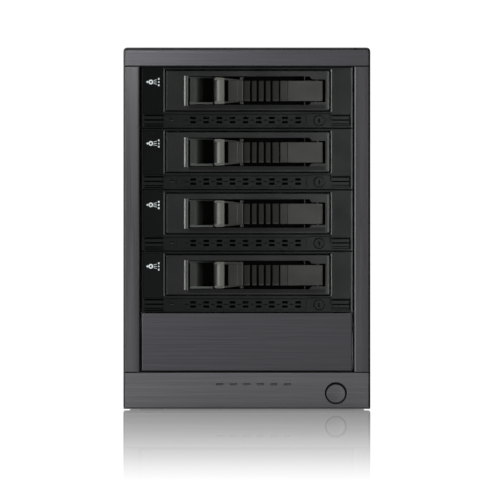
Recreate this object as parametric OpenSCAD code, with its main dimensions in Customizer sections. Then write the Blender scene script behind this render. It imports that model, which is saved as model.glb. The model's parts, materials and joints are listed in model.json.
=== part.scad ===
// Desktop NAS enclosure: small steel tower with four hot-swap drive bays over one covered
// 5.25 inch bay. Millimetres, +Z up, front face towards -Y, origin under the middle of the body.
// Left and right are as seen from the front: left is -X.

/* [Body] */
// Width over the front bezel
body_w = 170.4; // [170.4:0.2:176]
// Height of the front bezel, without the gap under its skirt
body_h = 249.4; // [249.4:0.2:254]
// Depth from bezel face to thumbscrew heads
body_d = 380; // [378:1:420]
// Gap between the floor and the bezel skirt
skirt_gap = 0.5; // [0.3:0.1:1.5]
// Height of the rubber feet
foot_h = 5; // [4.5:0.1:5.5]

/* [Bezel] */
// Thickness of the brushed alloy strips
strip_t = 3; // [2.5:0.1:3.5]
// Radius of the two top corners
corner_r = 2.8; // [1.5:0.1:4]
// Visible width of the moulded rim along the top
top_rim = 1.6; // [1.2:0.1:2]
// Visible width of the moulded rim down the sides
side_rim = 1.1; // [0.8:0.1:1.4]
// Radius of the power button
button_r = 6.7; // [6:0.05:6.9]
// Annular gap around the power button
button_gap = 0.9; // [0.3:0.05:1]

/* [Bays] */
// Centre-to-centre height of two bays
bay_pitch = 42.4; // [42.3:0.05:42.5]
// Height of one bay front
bay_h = 42; // [41.8:0.05:42]
// Width of one bay front
bay_w = 146; // [146:0.1:146.6]
// How far the bay fronts sit behind the bezel face
bay_inset = 1.0; // [0.8:0.1:1.4]

/* [Tray] */
// Lever pivot pin radius
pivot_r = 1.5; // [1.2:0.05:1.6]
// Radial clearance of the lever on its pins
pivot_play = 0.05; // [0.03:0.01:0.1]
// Travel slot beside the release slider
latch_slot = 2.55; // [2.4:0.05:2.6]

/* [Hidden] */
$fn = 48;

sheet = 1;                       // steel thickness
gap = 0.05;                      // clearance between touching parts
front_y = -body_d/2;             // bezel face
rear_y = body_d/2 - 5;           // rear panel outer face
plate_y = front_y + 14;          // front steel plate, front side
inside_y0 = plate_y + sheet + gap;
inside_y1 = rear_y - sheet - gap;
half_w = body_w/2;
bezel_top = skirt_gap + body_h;
steel_x = half_w - 1.4;          // half width of the inner steel parts
steel_top = bezel_top - 1.5;
opening_x = 73.95;               // bay opening: half width, bottom and top
opening_z0 = 25.8;
opening_z1 = 236.9;
button_x = 61.4;
button_z = 11.4;
fan_x = -28;                     // rear fan centre and screw offset
fan_z = 160;
fan_screw = 35.75;
psu_shift = 4.2;                 // power supply offset towards +X
psu_fan_x = -60;                 // power supply fan centre, before that offset
psu_fan_z = 29.2;
corners = [for (x=[-1,1], z=[-1,1]) [x,z]];
thumbscrews = [for (x=[-80.2,80.2], z=[22,228]) [x,z]];
slot_screw = [72.2,68];          // x, z of the slot cover screw
indicator_z = 17.6;
function indicator_x(i) = 4.66 + (i-2.5)*9.34;

// ---- Helpers: prisms and cylinders are named after their axis
function arc(x,y,radius,a0,a1,steps=6) =
  [for (i=[0:steps]) let(a=a0+(a1-a0)*i/steps) [x+radius*cos(a), y+radius*sin(a)]];
function round_rect(x0,y0,x1,y1,low_r,high_r,steps=6) = concat(
  arc(x1-low_r,y0+low_r,low_r,-90,0,steps),
  arc(x1-high_r,y1-high_r,high_r,0,90,steps),
  arc(x0+high_r,y1-high_r,high_r,90,180,steps),
  arc(x0+low_r,y0+low_r,low_r,180,270,steps));
// box from its low corner to its high corner
module box(x0,y0,z0,x1,y1,z1) translate([x0,y0,z0]) cube([x1-x0,y1-y0,z1-z0]);
// box given for the +X side; side is 1 or -1
module side_box(side,xa,y0,z0,xb,y1,z1)
  box(min(side*xa,side*xb),y0,z0,max(side*xa,side*xb),y1,z1);
module xprism(points,x0,x1)
  translate([x0,0,0]) rotate([90,0,90]) linear_extrude(x1-x0) polygon(points);
module yprism(points,y0,y1)
  translate([0,y1,0]) rotate([90,0,0]) linear_extrude(y1-y0) polygon(points);
module zprism(points,z0,z1) translate([0,0,z0]) linear_extrude(z1-z0) polygon(points);
module ycyl(x,z,y0,y1,radius,facets=48)
  translate([x,y1,z]) rotate([90,0,0]) cylinder(h=y1-y0,r=radius,$fn=facets);
module xcyl(y,z,x0,x1,radius,facets=32)
  translate([x0,y,z]) rotate([0,90,0]) cylinder(h=x1-x0,r=radius,$fn=facets);
module zcyl(x,y,z0,z1,radius,facets=48)
  translate([x,y,z0]) cylinder(h=z1-z0,r=radius,$fn=facets);
// box centred on x and z
module bar(x,z,width,height,y0,y1) box(x-width/2,y0,z-height/2,x+width/2,y1,z+height/2);
module xslot(y,z,x0,x1,length,radius) {
  box(x0,y-length/2+radius,z-radius,x1,y+length/2-radius,z+radius);
  for (s=[-1,1]) xcyl(y+s*(length/2-radius),z,x0,x1,radius);
}

// ---- Bay frame: origin at the top left of the bay front, x right, y inwards, z negative down
first_bay_top = 236.4;
bay_y = front_y + bay_inset;
bay_front_d = 12;                // depth of the moulded bay front
shell_y = bay_front_d + gap;
shell_screws = [for (y=[47.4,126.6]) bay_front_d + y];
shell_screw_z = -32;
drive_pins = [30.9,132.5];       // y of the carrier pins and their holes in the drive
drive_pin_z = -22.95;
data_plug_y = 184;               // rear faces of the backplane plugs
power_plug_y = 186;
function bay_top(k) = first_bay_top - bay_pitch*(k-1);
module in_bay(k) translate([-bay_w/2,bay_y,bay_top(k)]) children();

// ---- Chassis
module chassis_pan() color([0.10,0.10,0.11]) difference() {
  union() {
    box(-steel_x,inside_y0,foot_h,steel_x,inside_y1,foot_h+sheet);
    for (s=[-1,1])
      side_box(s,steel_x,inside_y0,foot_h+0.5,steel_x-sheet,rear_y-12,foot_h+13);
  }
  for (i=[0:9], s=[-1,1])
    box(s*38-20,plate_y+60+i*12,foot_h-1,s*38+20,plate_y+64+i*12,foot_h+2);
}
// plate with flanges at both sides and the top; the children are cut out of it
module steel_panel(panel_y,flange_y0,flange_y1) intersection() {
  yprism(round_rect(-steel_x,0,steel_x,steel_top,0.2,2.4),front_y,rear_y+2);
  difference() {
    union() {
      box(-steel_x,panel_y,foot_h+0.2,steel_x,panel_y+sheet,steel_top);
      for (s=[-1,1])
        side_box(s,steel_x,flange_y0,foot_h+13.2,steel_x-sheet,flange_y1,steel_top);
      box(-steel_x,flange_y0,steel_top-sheet,steel_x,flange_y1,steel_top);
    }
    children();
  }
}
module front_frame() color([0.55,0.56,0.58]) steel_panel(plate_y,plate_y+0.5,plate_y+12) {
  box(-opening_x+0.35,plate_y-1,opening_z0+0.2,opening_x-0.35,plate_y+2,opening_z1-0.2);
  ycyl(button_x,button_z,plate_y-1,plate_y+2,4,32);
  box(-20,plate_y-1,13.5,30,plate_y+2,21.5);
}
// vent grids: x and z of the first slot, columns, rows
rear_vents = [[-72,212,12,4],[-72,86,12,3],[10,14,8,5]];
module rear_panel() color([0.12,0.12,0.13]) steel_panel(rear_y-1,rear_y-11,rear_y-0.5) {
  box(30.45,rear_y-2,79.5,74.9,rear_y+1,238.25);                            // port plate
  box(-34,rear_y-2,61.5,66,rear_y+1,74.5);                                  // expansion slot
  box(psu_shift-78.6,rear_y-2,11.5,psu_shift-0.6,rear_y+1,47.5);            // power supply
  ycyl(fan_x,fan_z,rear_y-2,rear_y+1,37.2,96);
  for (c=corners)
    ycyl(fan_x+c[0]*fan_screw,fan_z+c[1]*fan_screw,rear_y-2,rear_y+1,2.2,32);
  for (screw=thumbscrews) ycyl(screw[0],screw[1],rear_y-2,rear_y+1,1.65,32);
  for (vent=rear_vents, i=[0:vent[2]-1], j=[0:vent[3]-1])
    bar(vent[0]+i*8,vent[1]+j*7,5.6,3.6,rear_y-2,rear_y+1);
  ycyl(slot_screw[0],slot_screw[1],rear_y-2,rear_y+1,1.65,32);
}

cage_x = 74.9;                   // outer half width
cage_z0 = 25.2;
cage_z1 = 239.0;
cage_y1 = plate_y + 162;
module cage_wall(side) difference() {
  middle = side*(cage_x-sheet/2);
  side_box(side,cage_x,inside_y0,cage_z0,cage_x-sheet,cage_y1,cage_z1);
  for (k=[1:5]) {
    screw_z = bay_top(k) + shell_screw_z;
    for (y=shell_screws) xslot(bay_y+y,screw_z,middle-2,middle+2,8.4,1.75);
    translate([middle,bay_y+99,screw_z+9]) cube([4,58,14],center=true);
    if (k<5) translate([middle,bay_y+32,screw_z+11]) cube([4,24,8],center=true);
  }
}
module drive_cage() color([0.62,0.63,0.65]) {
  floor_x = cage_x - sheet - gap;
  for (s=[-1,1]) cage_wall(s);
  for (z=[cage_z0,cage_z1-sheet]) difference() {    // floor and roof
    box(-floor_x,inside_y0,z,floor_x,cage_y1,z+sheet);
    for (i=[0:6], s=[-1,1]) translate([s*36,plate_y+24+i*20,z+0.5]) cube([52,7,4],center=true);
  }
  for (s=[-1,1], y=[plate_y+24,plate_y+112]) union() {   // foot brackets
    bracket_z = foot_h + sheet + gap;
    side_box(s,cage_x,y,bracket_z,cage_x-sheet,y+32,cage_z0-gap);
    side_box(s,cage_x,y,bracket_z,64,y+32,bracket_z+sheet);
  }
}
module rubber_feet() color([0.04,0.04,0.04])
  for (s=[-1,1], y=[front_y+26,rear_y-24]) translate([s*66,y,0]) difference() {
    rotate_extrude($fn=64)
      polygon([[0,0],[8.2,0],[9.0,0.8],[9.6,foot_h-0.01],[0,foot_h-0.01]]);
    translate([0,0,-1]) cylinder(h=3,r=3.2,$fn=32);
  }

// ---- Front bezel
half_seam = 0.35;                // half of a seam between bezel strips
strip_x = half_w - side_rim - 0.1;    // outline of the strips: half width, bottom, top, radius
strip_z0 = skirt_gap + 0.9;
strip_z1 = bezel_top - top_rim - 0.1;
strip_r = max(corner_r - side_rim, 0.6);
strip_y1 = front_y + strip_t;
// plan of a full-width strip, chamfered at its front edges
strip_plan = [[-strip_x+0.3,front_y],[strip_x-0.3,front_y],[strip_x,front_y+0.3],
  [strip_x,strip_y1],[-strip_x,strip_y1],[-strip_x,front_y+0.3]];
module bezel_top_bar() color([0.30,0.30,0.32]) intersection() {
  low = opening_z1 + half_seam;
  yprism(round_rect(-strip_x,low,strip_x,strip_z1,0.1,strip_r),front_y-1,strip_y1);
  xprism([[front_y,low+0.3],[front_y,strip_z1-0.35],[front_y+0.35,strip_z1],
    [strip_y1,strip_z1],[strip_y1,low],[front_y+0.3,low]],-half_w-1,half_w+1);
  zprism(strip_plan,0,bezel_top+1);
}
module bezel_bottom_bar() color([0.32,0.32,0.34]) difference() {
  high = opening_z0 - half_seam;
  intersection() {
    yprism(round_rect(-strip_x,strip_z0,strip_x,high,0.5,0.1),front_y-1,strip_y1);
    xprism([[front_y,strip_z0+0.3],[front_y,high-0.3],[front_y+0.3,high],
      [strip_y1,high],[strip_y1,strip_z0],[front_y+0.3,strip_z0]],-half_w-1,half_w+1);
    zprism(strip_plan,0,bezel_top+1);
  }
  ycyl(button_x,button_z,front_y-1,strip_y1+1,button_r+button_gap,96);
  for (i=[0:5]) bar(indicator_x(i),indicator_z,4.8,1.3,front_y-1,strip_y1+1);
}
module pillar(side) color([0.31,0.31,0.33]) intersection() {
  side_box(side,opening_x,front_y-1,opening_z0+half_seam,strip_x,strip_y1,opening_z1-half_seam);
  plan = [[strip_x-0.3,front_y],[strip_x,front_y+0.3],[strip_x,strip_y1],[opening_x,strip_y1],
    [opening_x,front_y+1.3],[opening_x+0.3,front_y+0.45],[opening_x+1.1,front_y]];
  zprism([for (point=plan) [side*point[0],point[1]]],0,bezel_top);
}
module bezel_left_pillar() pillar(-1);
module bezel_right_pillar() pillar(1);
module core_body() intersection() {
  yprism(round_rect(-half_w,skirt_gap,half_w,bezel_top,0.8,corner_r),front_y,plate_y);
  xprism([[front_y+0.2,skirt_gap+0.75],[front_y+0.2,bezel_top-1.4],
    [front_y+0.55,bezel_top-0.55],[front_y+1.4,bezel_top],[plate_y+1,bezel_top],
    [plate_y+1,skirt_gap],[front_y+0.75,skirt_gap]],-half_w-1,half_w+1);
  zprism([[-half_w+0.85,front_y+0.2],[half_w-0.85,front_y+0.2],[half_w-0.2,front_y+0.45],
    [half_w,front_y+1.1],[half_w,plate_y+1],[-half_w,plate_y+1],[-half_w,front_y+1.1],
    [-half_w+0.2,front_y+0.45]],0,bezel_top+1);
}
// hollow behind the core, leaving a frame round the opening and cross ribs
module core_hollow() difference() {
  box(-half_w+2.6,strip_y1+2.5,skirt_gap+2.6,half_w-2.6,plate_y+1,bezel_top-2.6);
  box(-opening_x-2,front_y,opening_z0-2,opening_x+2,plate_y+2,opening_z1+2);
  for (z=[60,130,200]) box(-half_w,front_y,z,half_w,plate_y+2,z+1.6);
  for (x=[-40,0,40]) box(x,front_y,opening_z1,x+1.6,plate_y+2,bezel_top);
}
module bezel_core() color([0.05,0.05,0.06]) difference() {
  core_body();
  yprism(round_rect(-strip_x-0.1,strip_z0-0.1,strip_x+0.1,strip_z1+0.1,0.5,strip_r),
    front_y-1,strip_y1+0.02);
  box(-opening_x,front_y,opening_z0,opening_x,plate_y+1,opening_z1);
  core_hollow();
  ycyl(button_x,button_z,front_y,plate_y+1,8.7,64);
  for (i=[0:5]) bar(indicator_x(i),indicator_z,5.4,1.9,front_y,plate_y+1);
}
// radius, depth behind the button face
button_profile = [[0,0.45],[button_r*0.42,0.38],[button_r*0.72,0.16],[button_r-0.7,0],
  [button_r-0.28,0.06],[button_r,0.38],[button_r,strip_t+0.4],[button_r+1.4,strip_t+0.4],
  [button_r+1.4,strip_t+1.4],[3.2,strip_t+1.4],[3.2,7.6],[1.5,7.6],[1.5,9.4],[0,9.4]];
module power_button() color([0.33,0.33,0.35]) translate([button_x,front_y+0.25,button_z])
  rotate([-90,0,0]) rotate_extrude($fn=96) polygon(button_profile);
module power_switch() color([0.10,0.30,0.16]) union() {
  difference() {
    box(button_x-13,plate_y-2.2,4.6,button_x+13,plate_y-0.6,20.5);
    for (s=[-1,1]) ycyl(button_x+s*10,button_z+4,plate_y-3,plate_y,1.6,24);
  }
  difference() {
    bar(button_x,button_z,6.2,6.2,plate_y-4.6,plate_y-2.2);
    ycyl(button_x,button_z,plate_y-5,plate_y-2.3,1.9,32);
  }
}
module indicator_pipes() color([0.20,0.21,0.22]) for (i=[0:5]) union() {
  bar(indicator_x(i),indicator_z,4.5,1.0,front_y+0.25,front_y+4.8);
  bar(indicator_x(i),indicator_z,5.0,1.5,front_y+4.8,plate_y-1);
}

blank_x = 72.5;                  // face of the 5.25 inch bay cover: half width, bottom, top
blank_z0 = 26.8;
blank_z1 = 66.7;
module bay_cover() color([0.29,0.29,0.31]) union() {
  face_y = front_y + 0.3;
  back_y = front_y + 3.2;
  intersection() {
    box(-blank_x,front_y,blank_z0,blank_x,front_y+6,blank_z1);
    zprism([[-blank_x+0.4,face_y],[blank_x-0.4,face_y],[blank_x,face_y+0.4],
      [blank_x,back_y],[-blank_x,back_y],[-blank_x,face_y+0.4]],0,80);
    xprism([[face_y,blank_z0+0.4],[face_y,blank_z1-0.4],[face_y+0.4,blank_z1],
      [back_y,blank_z1],[back_y,blank_z0],[face_y+0.4,blank_z0]],-80,80);
  }
  difference() {
    box(-71.5,back_y,28.0,71.5,front_y+13.5,65.6);
    box(-69.7,front_y+5.2,29.8,69.7,front_y+14,63.8);
    box(-50,front_y+6.5,28,50,front_y+14,67);
  }
  for (s=[-1,1]) {                                // side arms with barbs
    side_box(s,71.5,front_y+13.5,38,70,front_y+30,56);
    zprism([[s*71.4,front_y+24],[s*72.9,front_y+26],[s*71.4,front_y+30]],38,56);
  }
}

// ---- Cover
cover_gap = 0.2;                 // cover set in from the bezel outline
module cover_profile() difference() {
  outer_x = half_w - cover_gap;
  outer_z = bezel_top - cover_gap;
  inner_x = outer_x - sheet;
  yprism(round_rect(-outer_x,foot_h+0.2,outer_x,outer_z,0.2,3.0,8),plate_y+0.05,rear_y+1.1);
  yprism(round_rect(-inner_x,foot_h-6,inner_x,outer_z-sheet,0.2,2.0,8),
    plate_y-0.95,rear_y+2.1);
}
module top_cover() color([0.08,0.08,0.085]) difference() {
  union() {
    cover_profile();
    for (s=[-1,1])
      side_box(s,half_w-0.8,rear_y+0.1,foot_h+4,75.6,rear_y+1.1,bezel_top-6);
    box(-78,rear_y+0.1,bezel_top-8.5,78,rear_y+1.1,bezel_top-0.9);
  }
  for (screw=thumbscrews) ycyl(screw[0],screw[1],rear_y-1,rear_y+3,2.3,32);
  for (s=[-1,1], i=[0:13], j=[0:3])
    translate([s*(half_w-0.7),plate_y+26+i*9,56+j*22]) cube([5,4.2,16],center=true);
  for (i=[0:9], s=[-1,1])
    translate([s*22,rear_y-104+i*9,bezel_top-0.7]) cube([30,4.2,5],center=true);
}
module thumbscrew() rotate([-90,0,0]) difference() {
  union() {
    cylinder(h=3.9,r=4.6,$fn=64);
    for (a=[0:20:359]) rotate([0,0,a]) translate([4.5,0,0.5]) cylinder(h=2.7,r=0.45,$fn=13);
    translate([0,0,-9]) cylinder(h=9.1,r=1.55,$fn=32);
  }
  translate([-0.5,-2.6,2.9]) cube([1,5.2,2]);
  translate([-2.6,-0.5,2.9]) cube([5.2,1,2]);
}
module cover_thumbscrews() color([0.7,0.7,0.72])
  for (screw=thumbscrews) translate([screw[0],rear_y+1.1,screw[1]]) thumbscrew();

// ---- One bay, in the bay frame
over = 0.01;                     // overshoot of the bevel cuts
lock_x = 122.8;
lock_z = -36.9;
grille_pitch = 9.05;
// side grooves: z of the two edges, below the bay top
left_grooves = [[32.6,33.9],[35.9,37.05],[38.9,39.7],[40.3,41.2]];
right_grooves = [[32.8,34.05],[36.05,37.05],[38.8,39.4],[40.2,40.7]];
module tray_aperture() {
  box(16.6,-1,-30.6,130.7,13,-1.7);
  zprism([[15.45,-over],[16.61,-over],[16.61,0.9]],-31.2,-0.9);    // bevels on its four sides
  zprism([[131.7,-over],[130.69,-over],[130.69,0.9]],-31.2,-0.9);
  xprism([[-over,-31.2],[-over,-30.59],[0.6,-30.59]],15.45,131.7);
  xprism([[-over,-1.1],[-over,-1.71],[0.6,-1.71]],15.45,131.7);
}
// shallow band below the aperture, with the lock boss and two small pads left standing
module grille_band() difference() {
  box(1.8,-1,-40.7,144.3,0.5,-32.3);
  yprism([[114.2,-42],[114.2,-34.0],[117.4,-31.8],[130.0,-31.8],[130.0,-42]],-2,2);
  box(15.5,-2,-37.9,19.4,2,-34.1);
  box(24.7,-2,-37.9,26.8,2,-34.3);
}
module band_grooves() {
  box(15.6,-1,-32.95,113.4,1.2,-32.35);            // fine line round the grille and lock boss
  yprism([[113.3,-32.95],[113.3,-32.35],[116.6,-31.75],[130.9,-31.75],[130.9,-36.4],
    [130.3,-36.4],[130.3,-32.35],[116.8,-32.35]],-1,1.2);
  for (edge=left_grooves) box(2.3,-1,-edge[1],15.4,1.6,-edge[0]);
  for (edge=right_grooves) box(131.4,-1,-edge[1],144.5,1.6,-edge[0]);
  box(143.7,-1,-40.7,144.55,1.6,-32.8);
}
module grille_slots() for (i=[0:8]) {
  x = 31.4 + i*grille_pitch;
  for (z=[-35.15,-38.05]) bar(x+4.55,z,3.6,1.32,-1,3);
  bar(x,-36.6,2.6,0.7,-1,1.4);
  box(x-2.4,-1,-40.6,x+2.4,1.0,-39.9);
}
module bay_bezel() color([0.055,0.058,0.058]) difference() {
  intersection() {
    zprism([[0.6,0],[bay_w-1.1,0],[bay_w-0.3,0.4],[bay_w,1.1],[bay_w,bay_front_d],
      [0,bay_front_d],[0,0.6]],-bay_h,0);
    xprism([[0,-0.6],[0,-bay_h+0.4],[0.4,-bay_h],[bay_front_d,-bay_h],[bay_front_d,0],
      [0.6,0]],0,bay_w);
  }
  tray_aperture();
  box(1.4,-1,-32.1,15.1,1.1,-0.9);                 // status window seat
  box(1.8,2.4,-40.2,15.0,13,-2);                   // hollow behind
  box(132.3,2.4,-40.2,144.2,13,-2);
  box(14,2.4,-40.2,114,13,-32.4);
  grille_band();
  band_grooves();
  grille_slots();
  box(20.0,-1,-37.4,22.7,2,-35.5);
  ycyl(lock_x,lock_z,-1,13,3.85);
  for (x=[30,80]) box(x,9,-42.5,x+20,13,-40);
}
module status_window() color([0.02,0.025,0.022]) box(1.5,0.3,-32.0,15.0,1.05,-1.0);
module bay_shell() color([0.60,0.61,0.63]) difference() {
  union() {
    difference() {
      box(0.5,shell_y,-41.6,145.5,176,-0.4);
      box(1.5,12,-40.6,144.5,177,-1.4);
    }
    for (x=[15.6,131.0]) box(x,shell_y,-31.7,x+0.8,176,-1.2);
    box(15.6,shell_y,-31.7,131.8,176,-30.9);
  }
  for (y=shell_screws, x=[-1,143]) xcyl(y,shell_screw_z,x,x+4,1.35);
  for (i=[0:4], x=[24,80]) box(x,28+i*28,-2,x+44,46+i*28,0);
  for (i=[0:3]) box(30,30+i*34,-33,118,52+i*34,-30);
}
module backplane() color([0.05,0.24,0.13]) union() {
  difference() {
    box(1,176.05,-41.2,145,177.6,-1);
    for (x=[10,104]) box(x,175,-26,x+32,179,-6);
    for (x=[5,141]) ycyl(x,-36.5,175,179,1.6,24);
  }
  box(64,162.4,-28.4,108,176.06,-21.6);           // drive socket
  box(38,177.5,-38,60,power_plug_y,-31);
  box(70,177.5,-37,84,data_plug_y,-31);
  for (i=[0:2]) ycyl(96+i*9,-35,177.5,183,2.6,24);
}
module tray_carrier() color([0.09,0.09,0.095]) difference() {
  union() {
    box(17.6,shell_y,-29.95,129.6,13.6,-3.0);
    box(17.6,13.5,-29.95,22.6,158,-5.5);
    box(124.8,13.5,-29.95,129.6,158,-5.5);
    box(17.6,13.5,-29.95,129.6,158,-29.45);
    for (y=drive_pins, x=[22.5,122.8]) xcyl(y,drive_pin_z,x,x+2.1,1.45);
  }
  for (i=[0:2]) box(30,24+i*44,-31,117,56+i*44,-29);
  for (i=[0:3]) {
    box(16,20+i*34,-12.5,18.8,44+i*34,-8.5);
    box(128.4,20+i*34,-12.5,131,44+i*34,-8.5);
  }
  for (y=[48,84]) {
    box(17,y,-26,23,y+26,-17);
    box(124.5,y,-26,130,y+26,-17);
  }
  for (i=[0:8]) box(30+i*10,11,-20,35+i*10,14,-8);
  box(36,150,-30.2,112,159,-29);
}
// x, y of the drive lid screws
lid_screws = [[29,20],[118.5,20],[29,90],[118.5,90],[34,152],[113,152],[73.7,20],[73.7,154]];
module drive_side_hole(y,radius) {
  xcyl(y,drive_pin_z,20,26.5,radius);
  xcyl(y,drive_pin_z,121,127,radius);
}
module hard_drive() color([0.55,0.56,0.57]) difference() {
  union() {
    zprism(round_rect(22.9,14,124.5,161,2.5,2.5,4),-28.6,-4.3);
    zprism([[25.5,16.5],[121.9,16.5],[121.9,140],[116,156],[31,156],[25.5,148]],
      -4.4,-3.6);                                 // lid
    zcyl(68,64,-3.7,-3.2,30,96);
    zcyl(100,132,-3.7,-3.25,11);
    for (screw=lid_screws) zcyl(screw[0],screw[1],-3.7,-3.1,2.2,24);
    box(26.5,40,-29.3,121,158,-28.5);             // circuit board
    box(64.5,154,-28.2,107.5,161.9,-21.9);
  }
  for (y=drive_pins) drive_side_hole(y,1.65);
  for (y=[70.9,102]) drive_side_hole(y,1.5);
  box(66,160,-27.2,106,163,-22.8);
  box(22,60,-13,23.9,120,-8);
  box(123.5,60,-13,126,120,-8);
}

// tray front recess, x and z
recess = [[32.4,-6.35],[116.2,-6.35],[117.8,-8.5],[127.2,-8.5],[127.2,-24.1],[117.6,-24.1],
  [115.9,-26.1],[32.4,-26.1]];
pivot_x = 121.5;
pivot_y = 5.0;
module tray_front() color([0.16,0.165,0.16]) union() {
  difference() {
    intersection() {
      zprism([[17.9,0.2],[129.3,0.2],[130.0,0.9],[130.0,12],[17.2,12],[17.2,0.9]],-30.1,-2.35);
      xprism([[0.2,-2.9],[0.2,-29.55],[0.75,-30.1],[12,-30.1],[12,-2.35],[0.75,-2.35]],17,131);
      yprism(round_rect(17.2,-30.1,130.0,-2.35,1.0,1.0,5),-1,12);
    }
    yprism(recess,-1,8.6);
    box(33.8,-1,-24.2,50,10.6,-7.5);
  }
  // lips of the finger well
  xprism([[1.0,-7.5],[1.0,-7.2],[1.45,-6.75],[8.7,-6.75],[8.7,-7.5]],32.3,49.6);
  xprism([[1.0,-25.6],[1.0,-25.3],[2.3,-24.2],[8.7,-24.2],[8.7,-25.6]],33.8,49.6);
  for (z=[[-9.0,-6.3],[-26.2,-24.0]]) box(112.6,1.6,z[0],113.05,8.7,z[1]);   // channel ends
  intersection() {                                // curved end of the finger well
    zcyl(33.8,10.6,-24.3,-7.4,9.0,96);
    box(33.7,1.2,-24.3,43.5,10.7,-7.4);
  }
  zprism([[29.6,0.3],[30.7,-0.6],[31.7,-0.6],[32.5,0.3],[32.5,0.8],[29.6,0.8]],-26.7,-6.0);
  for (z=[[-11.3,-8.4],[-24.2,-21.5]]) zcyl(pivot_x,pivot_y,z[0],z[1],pivot_r,32);
}
grip_x0 = 57.4;                  // lever pocket that holds the release slider
grip_x1 = 70.55;
// ribbed front edge of the lever, x and y
ribs = [[grip_x1,1.0],[grip_x1,2.6],[71.25,2.6],[71.25,2.0],
  [75.05,1.15],[75.05,4.3],[76.55,4.3],[76.55,2.0],
  [79.65,1.15],[79.65,4.3],[81.25,4.3],[81.25,2.0],
  [84.55,1.15],[84.55,4.3],[86.1,4.3],[86.1,2.0],
  [89.2,1.15],[89.2,4.3],[90.8,4.3],[90.8,2.0],
  [95.05,1.15],[95.05,3.8],[95.95,3.8],[95.95,1.7],
  [100.85,1.05],[100.85,1.7],[101.3,1.7],[101.3,1.05]];
module lever() color([0.22,0.22,0.21]) difference() {
  union() {
    zprism(concat([[58,5.1],[58,1.0]],ribs,
      [[118,1.05],[124.5,1.05],[125.3,1.85],[125.3,pivot_y]],
      arc(pivot_x,pivot_y,3.45,12,96),[[118.6,6.0],[116,5.1]]),-23.4,-9.5);
    for (z=[[-9.0,-7.2],[-25.5,-23.7]])           // side cheeks of the grip
      zprism(concat([[50.1,6.2],[50.1,4.2]],arc(53.7,4.2,3.6,180,270,5),
        [[grip_x1,0.6],[grip_x1,6.2]]),z[0],z[1]);
    zprism(concat([[50.2,6.2]],arc(58.2,6.8,7.6,185,262,8),[[57.4,3.4],[58,6.2]]),
      -23.8,-8.9);                                // finger face
    box(57.3,3.4,-23.8,grip_x1,6.2,-8.9);
    for (z=[[-9.0,-7.25],[-25.45,-23.7]]) box(68.3,0.15,z[0],69.8,0.7,z[1]);
  }
  box(grip_x0,-1,-23.7,grip_x1,3.4,-9.0);
  box(59.6,0,-20.3,65.4,8,-12.7);
  for (z=[[-11.6,-9.4],[-23.5,-21.2]])
    zcyl(pivot_x,pivot_y,z[0],z[1],pivot_r+pivot_play,32);
}
module latch() color([0.20,0.20,0.195]) union() {
  x0 = grip_x0 + latch_slot;
  zprism([[x0,3.3],[x0,1.2],[x0+0.4,0.8],[66.4,0.8],[66.5,0.92],[66.6,0.8],[69.9,0.8],
    [70.3,1.2],[70.3,3.3]],-23.55,-9.15);
  box(62.4,3.2,-20,65.2,7.8,-13);
}
module key_lock() color([0.35,0.35,0.36]) union() {
  difference() {
    translate([lock_x,0.15,lock_z]) rotate([-90,0,0]) rotate_extrude($fn=48)
      polygon([[0,0],[3.3,0],[3.8,0.5],[3.8,9],[0,9]]);
    box(lock_x-0.45,-1,lock_z-1.3,lock_x+0.45,2.5,lock_z+1.3);
    box(lock_x-1,-1,lock_z-0.4,lock_x,1.2,lock_z+0.1);
  }
  box(lock_x-1.5,9.1,lock_z-3.2,lock_x+1.5,10.6,lock_z+3.2);
}

// ---- Main board, upright on the right with its components towards -X
board_x = 71.05;                 // component face
board_y1 = rear_y - 3.2;
board_y0 = board_y1 - 170;
board_z0 = 66;
board_z1 = 236;
board_holes = [for (from_corner=[[10.16,33.02],[10.16,165.1],[165.1,6.35],[165.1,163.83]])
  [board_y1-from_corner[0],board_z0+from_corner[1]]];
cpu_y = board_y1 - 92;
cpu_z = 158;
// rear ports: reach from the board, depth, bottom, top
ports = [[27,16,212,226],[29,18,190,206],[28,21,168,184.5],[28,21,146,162.5]];
jacks = [for (z=[110,123.5,137]) [12,14,z-6,z+6]];
function memory_y(i) = board_y0 + 22 + i*10;
function data_socket_z(i) = 143.5 + i*10;

module cross_screw() difference() {
  union() {
    cylinder(h=1.8,r1=2.9,r2=2.4,$fn=32);
    translate([0,0,-4]) cylinder(h=4.1,r=1.3,$fn=24);
  }
  translate([-1.7,-0.35,1.0]) cube([3.4,0.7,2]);
  translate([-0.35,-1.7,1.0]) cube([0.7,3.4,2]);
}
module pan_head_screws() color([0.72,0.73,0.75]) {
  for (k=[1:4], y=shell_screws, s=[1,-1])
    translate([s*(cage_x+gap),bay_y+y,bay_top(k)+shell_screw_z]) rotate([0,s*90,0]) cross_screw();
  for (c=corners) translate([fan_x+c[0]*fan_screw,rear_y+1.0,fan_z+c[1]*fan_screw])
    rotate([-90,0,0]) cross_screw();
  for (hole=board_holes)
    translate([board_x-gap,hole[0],hole[1]]) rotate([0,-90,0]) cross_screw();
  translate([slot_screw[0],rear_y+0.95,slot_screw[1]]) rotate([-90,0,0]) cross_screw();
}
module board_tray() color([0.58,0.59,0.61]) union() {
  difference() {
    box(79.0,board_y0-6,board_z0-10,80.0,inside_y1,board_z1+5);
    box(78,board_y0+50,120,81,board_y0+110,180);
    box(78,rear_y-12,223,81,rear_y,233);
    box(78,board_y0+10,70,81,board_y0+20,120);
  }
  for (hole=board_holes) difference() {           // hexagonal standoffs
    xcyl(hole[0],hole[1],72.65,79.1,2.8,6);
    xcyl(hole[0],hole[1],72,78,1.35,24);
  }
  box(79.0,rear_y-2.1,board_z0-10,82.5,inside_y1,board_z0-3);
}
module port_block(port)
  box(board_x-port[0],board_y1-port[1],port[2],board_x+0.1,board_y1+2.6,port[3]);
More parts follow.
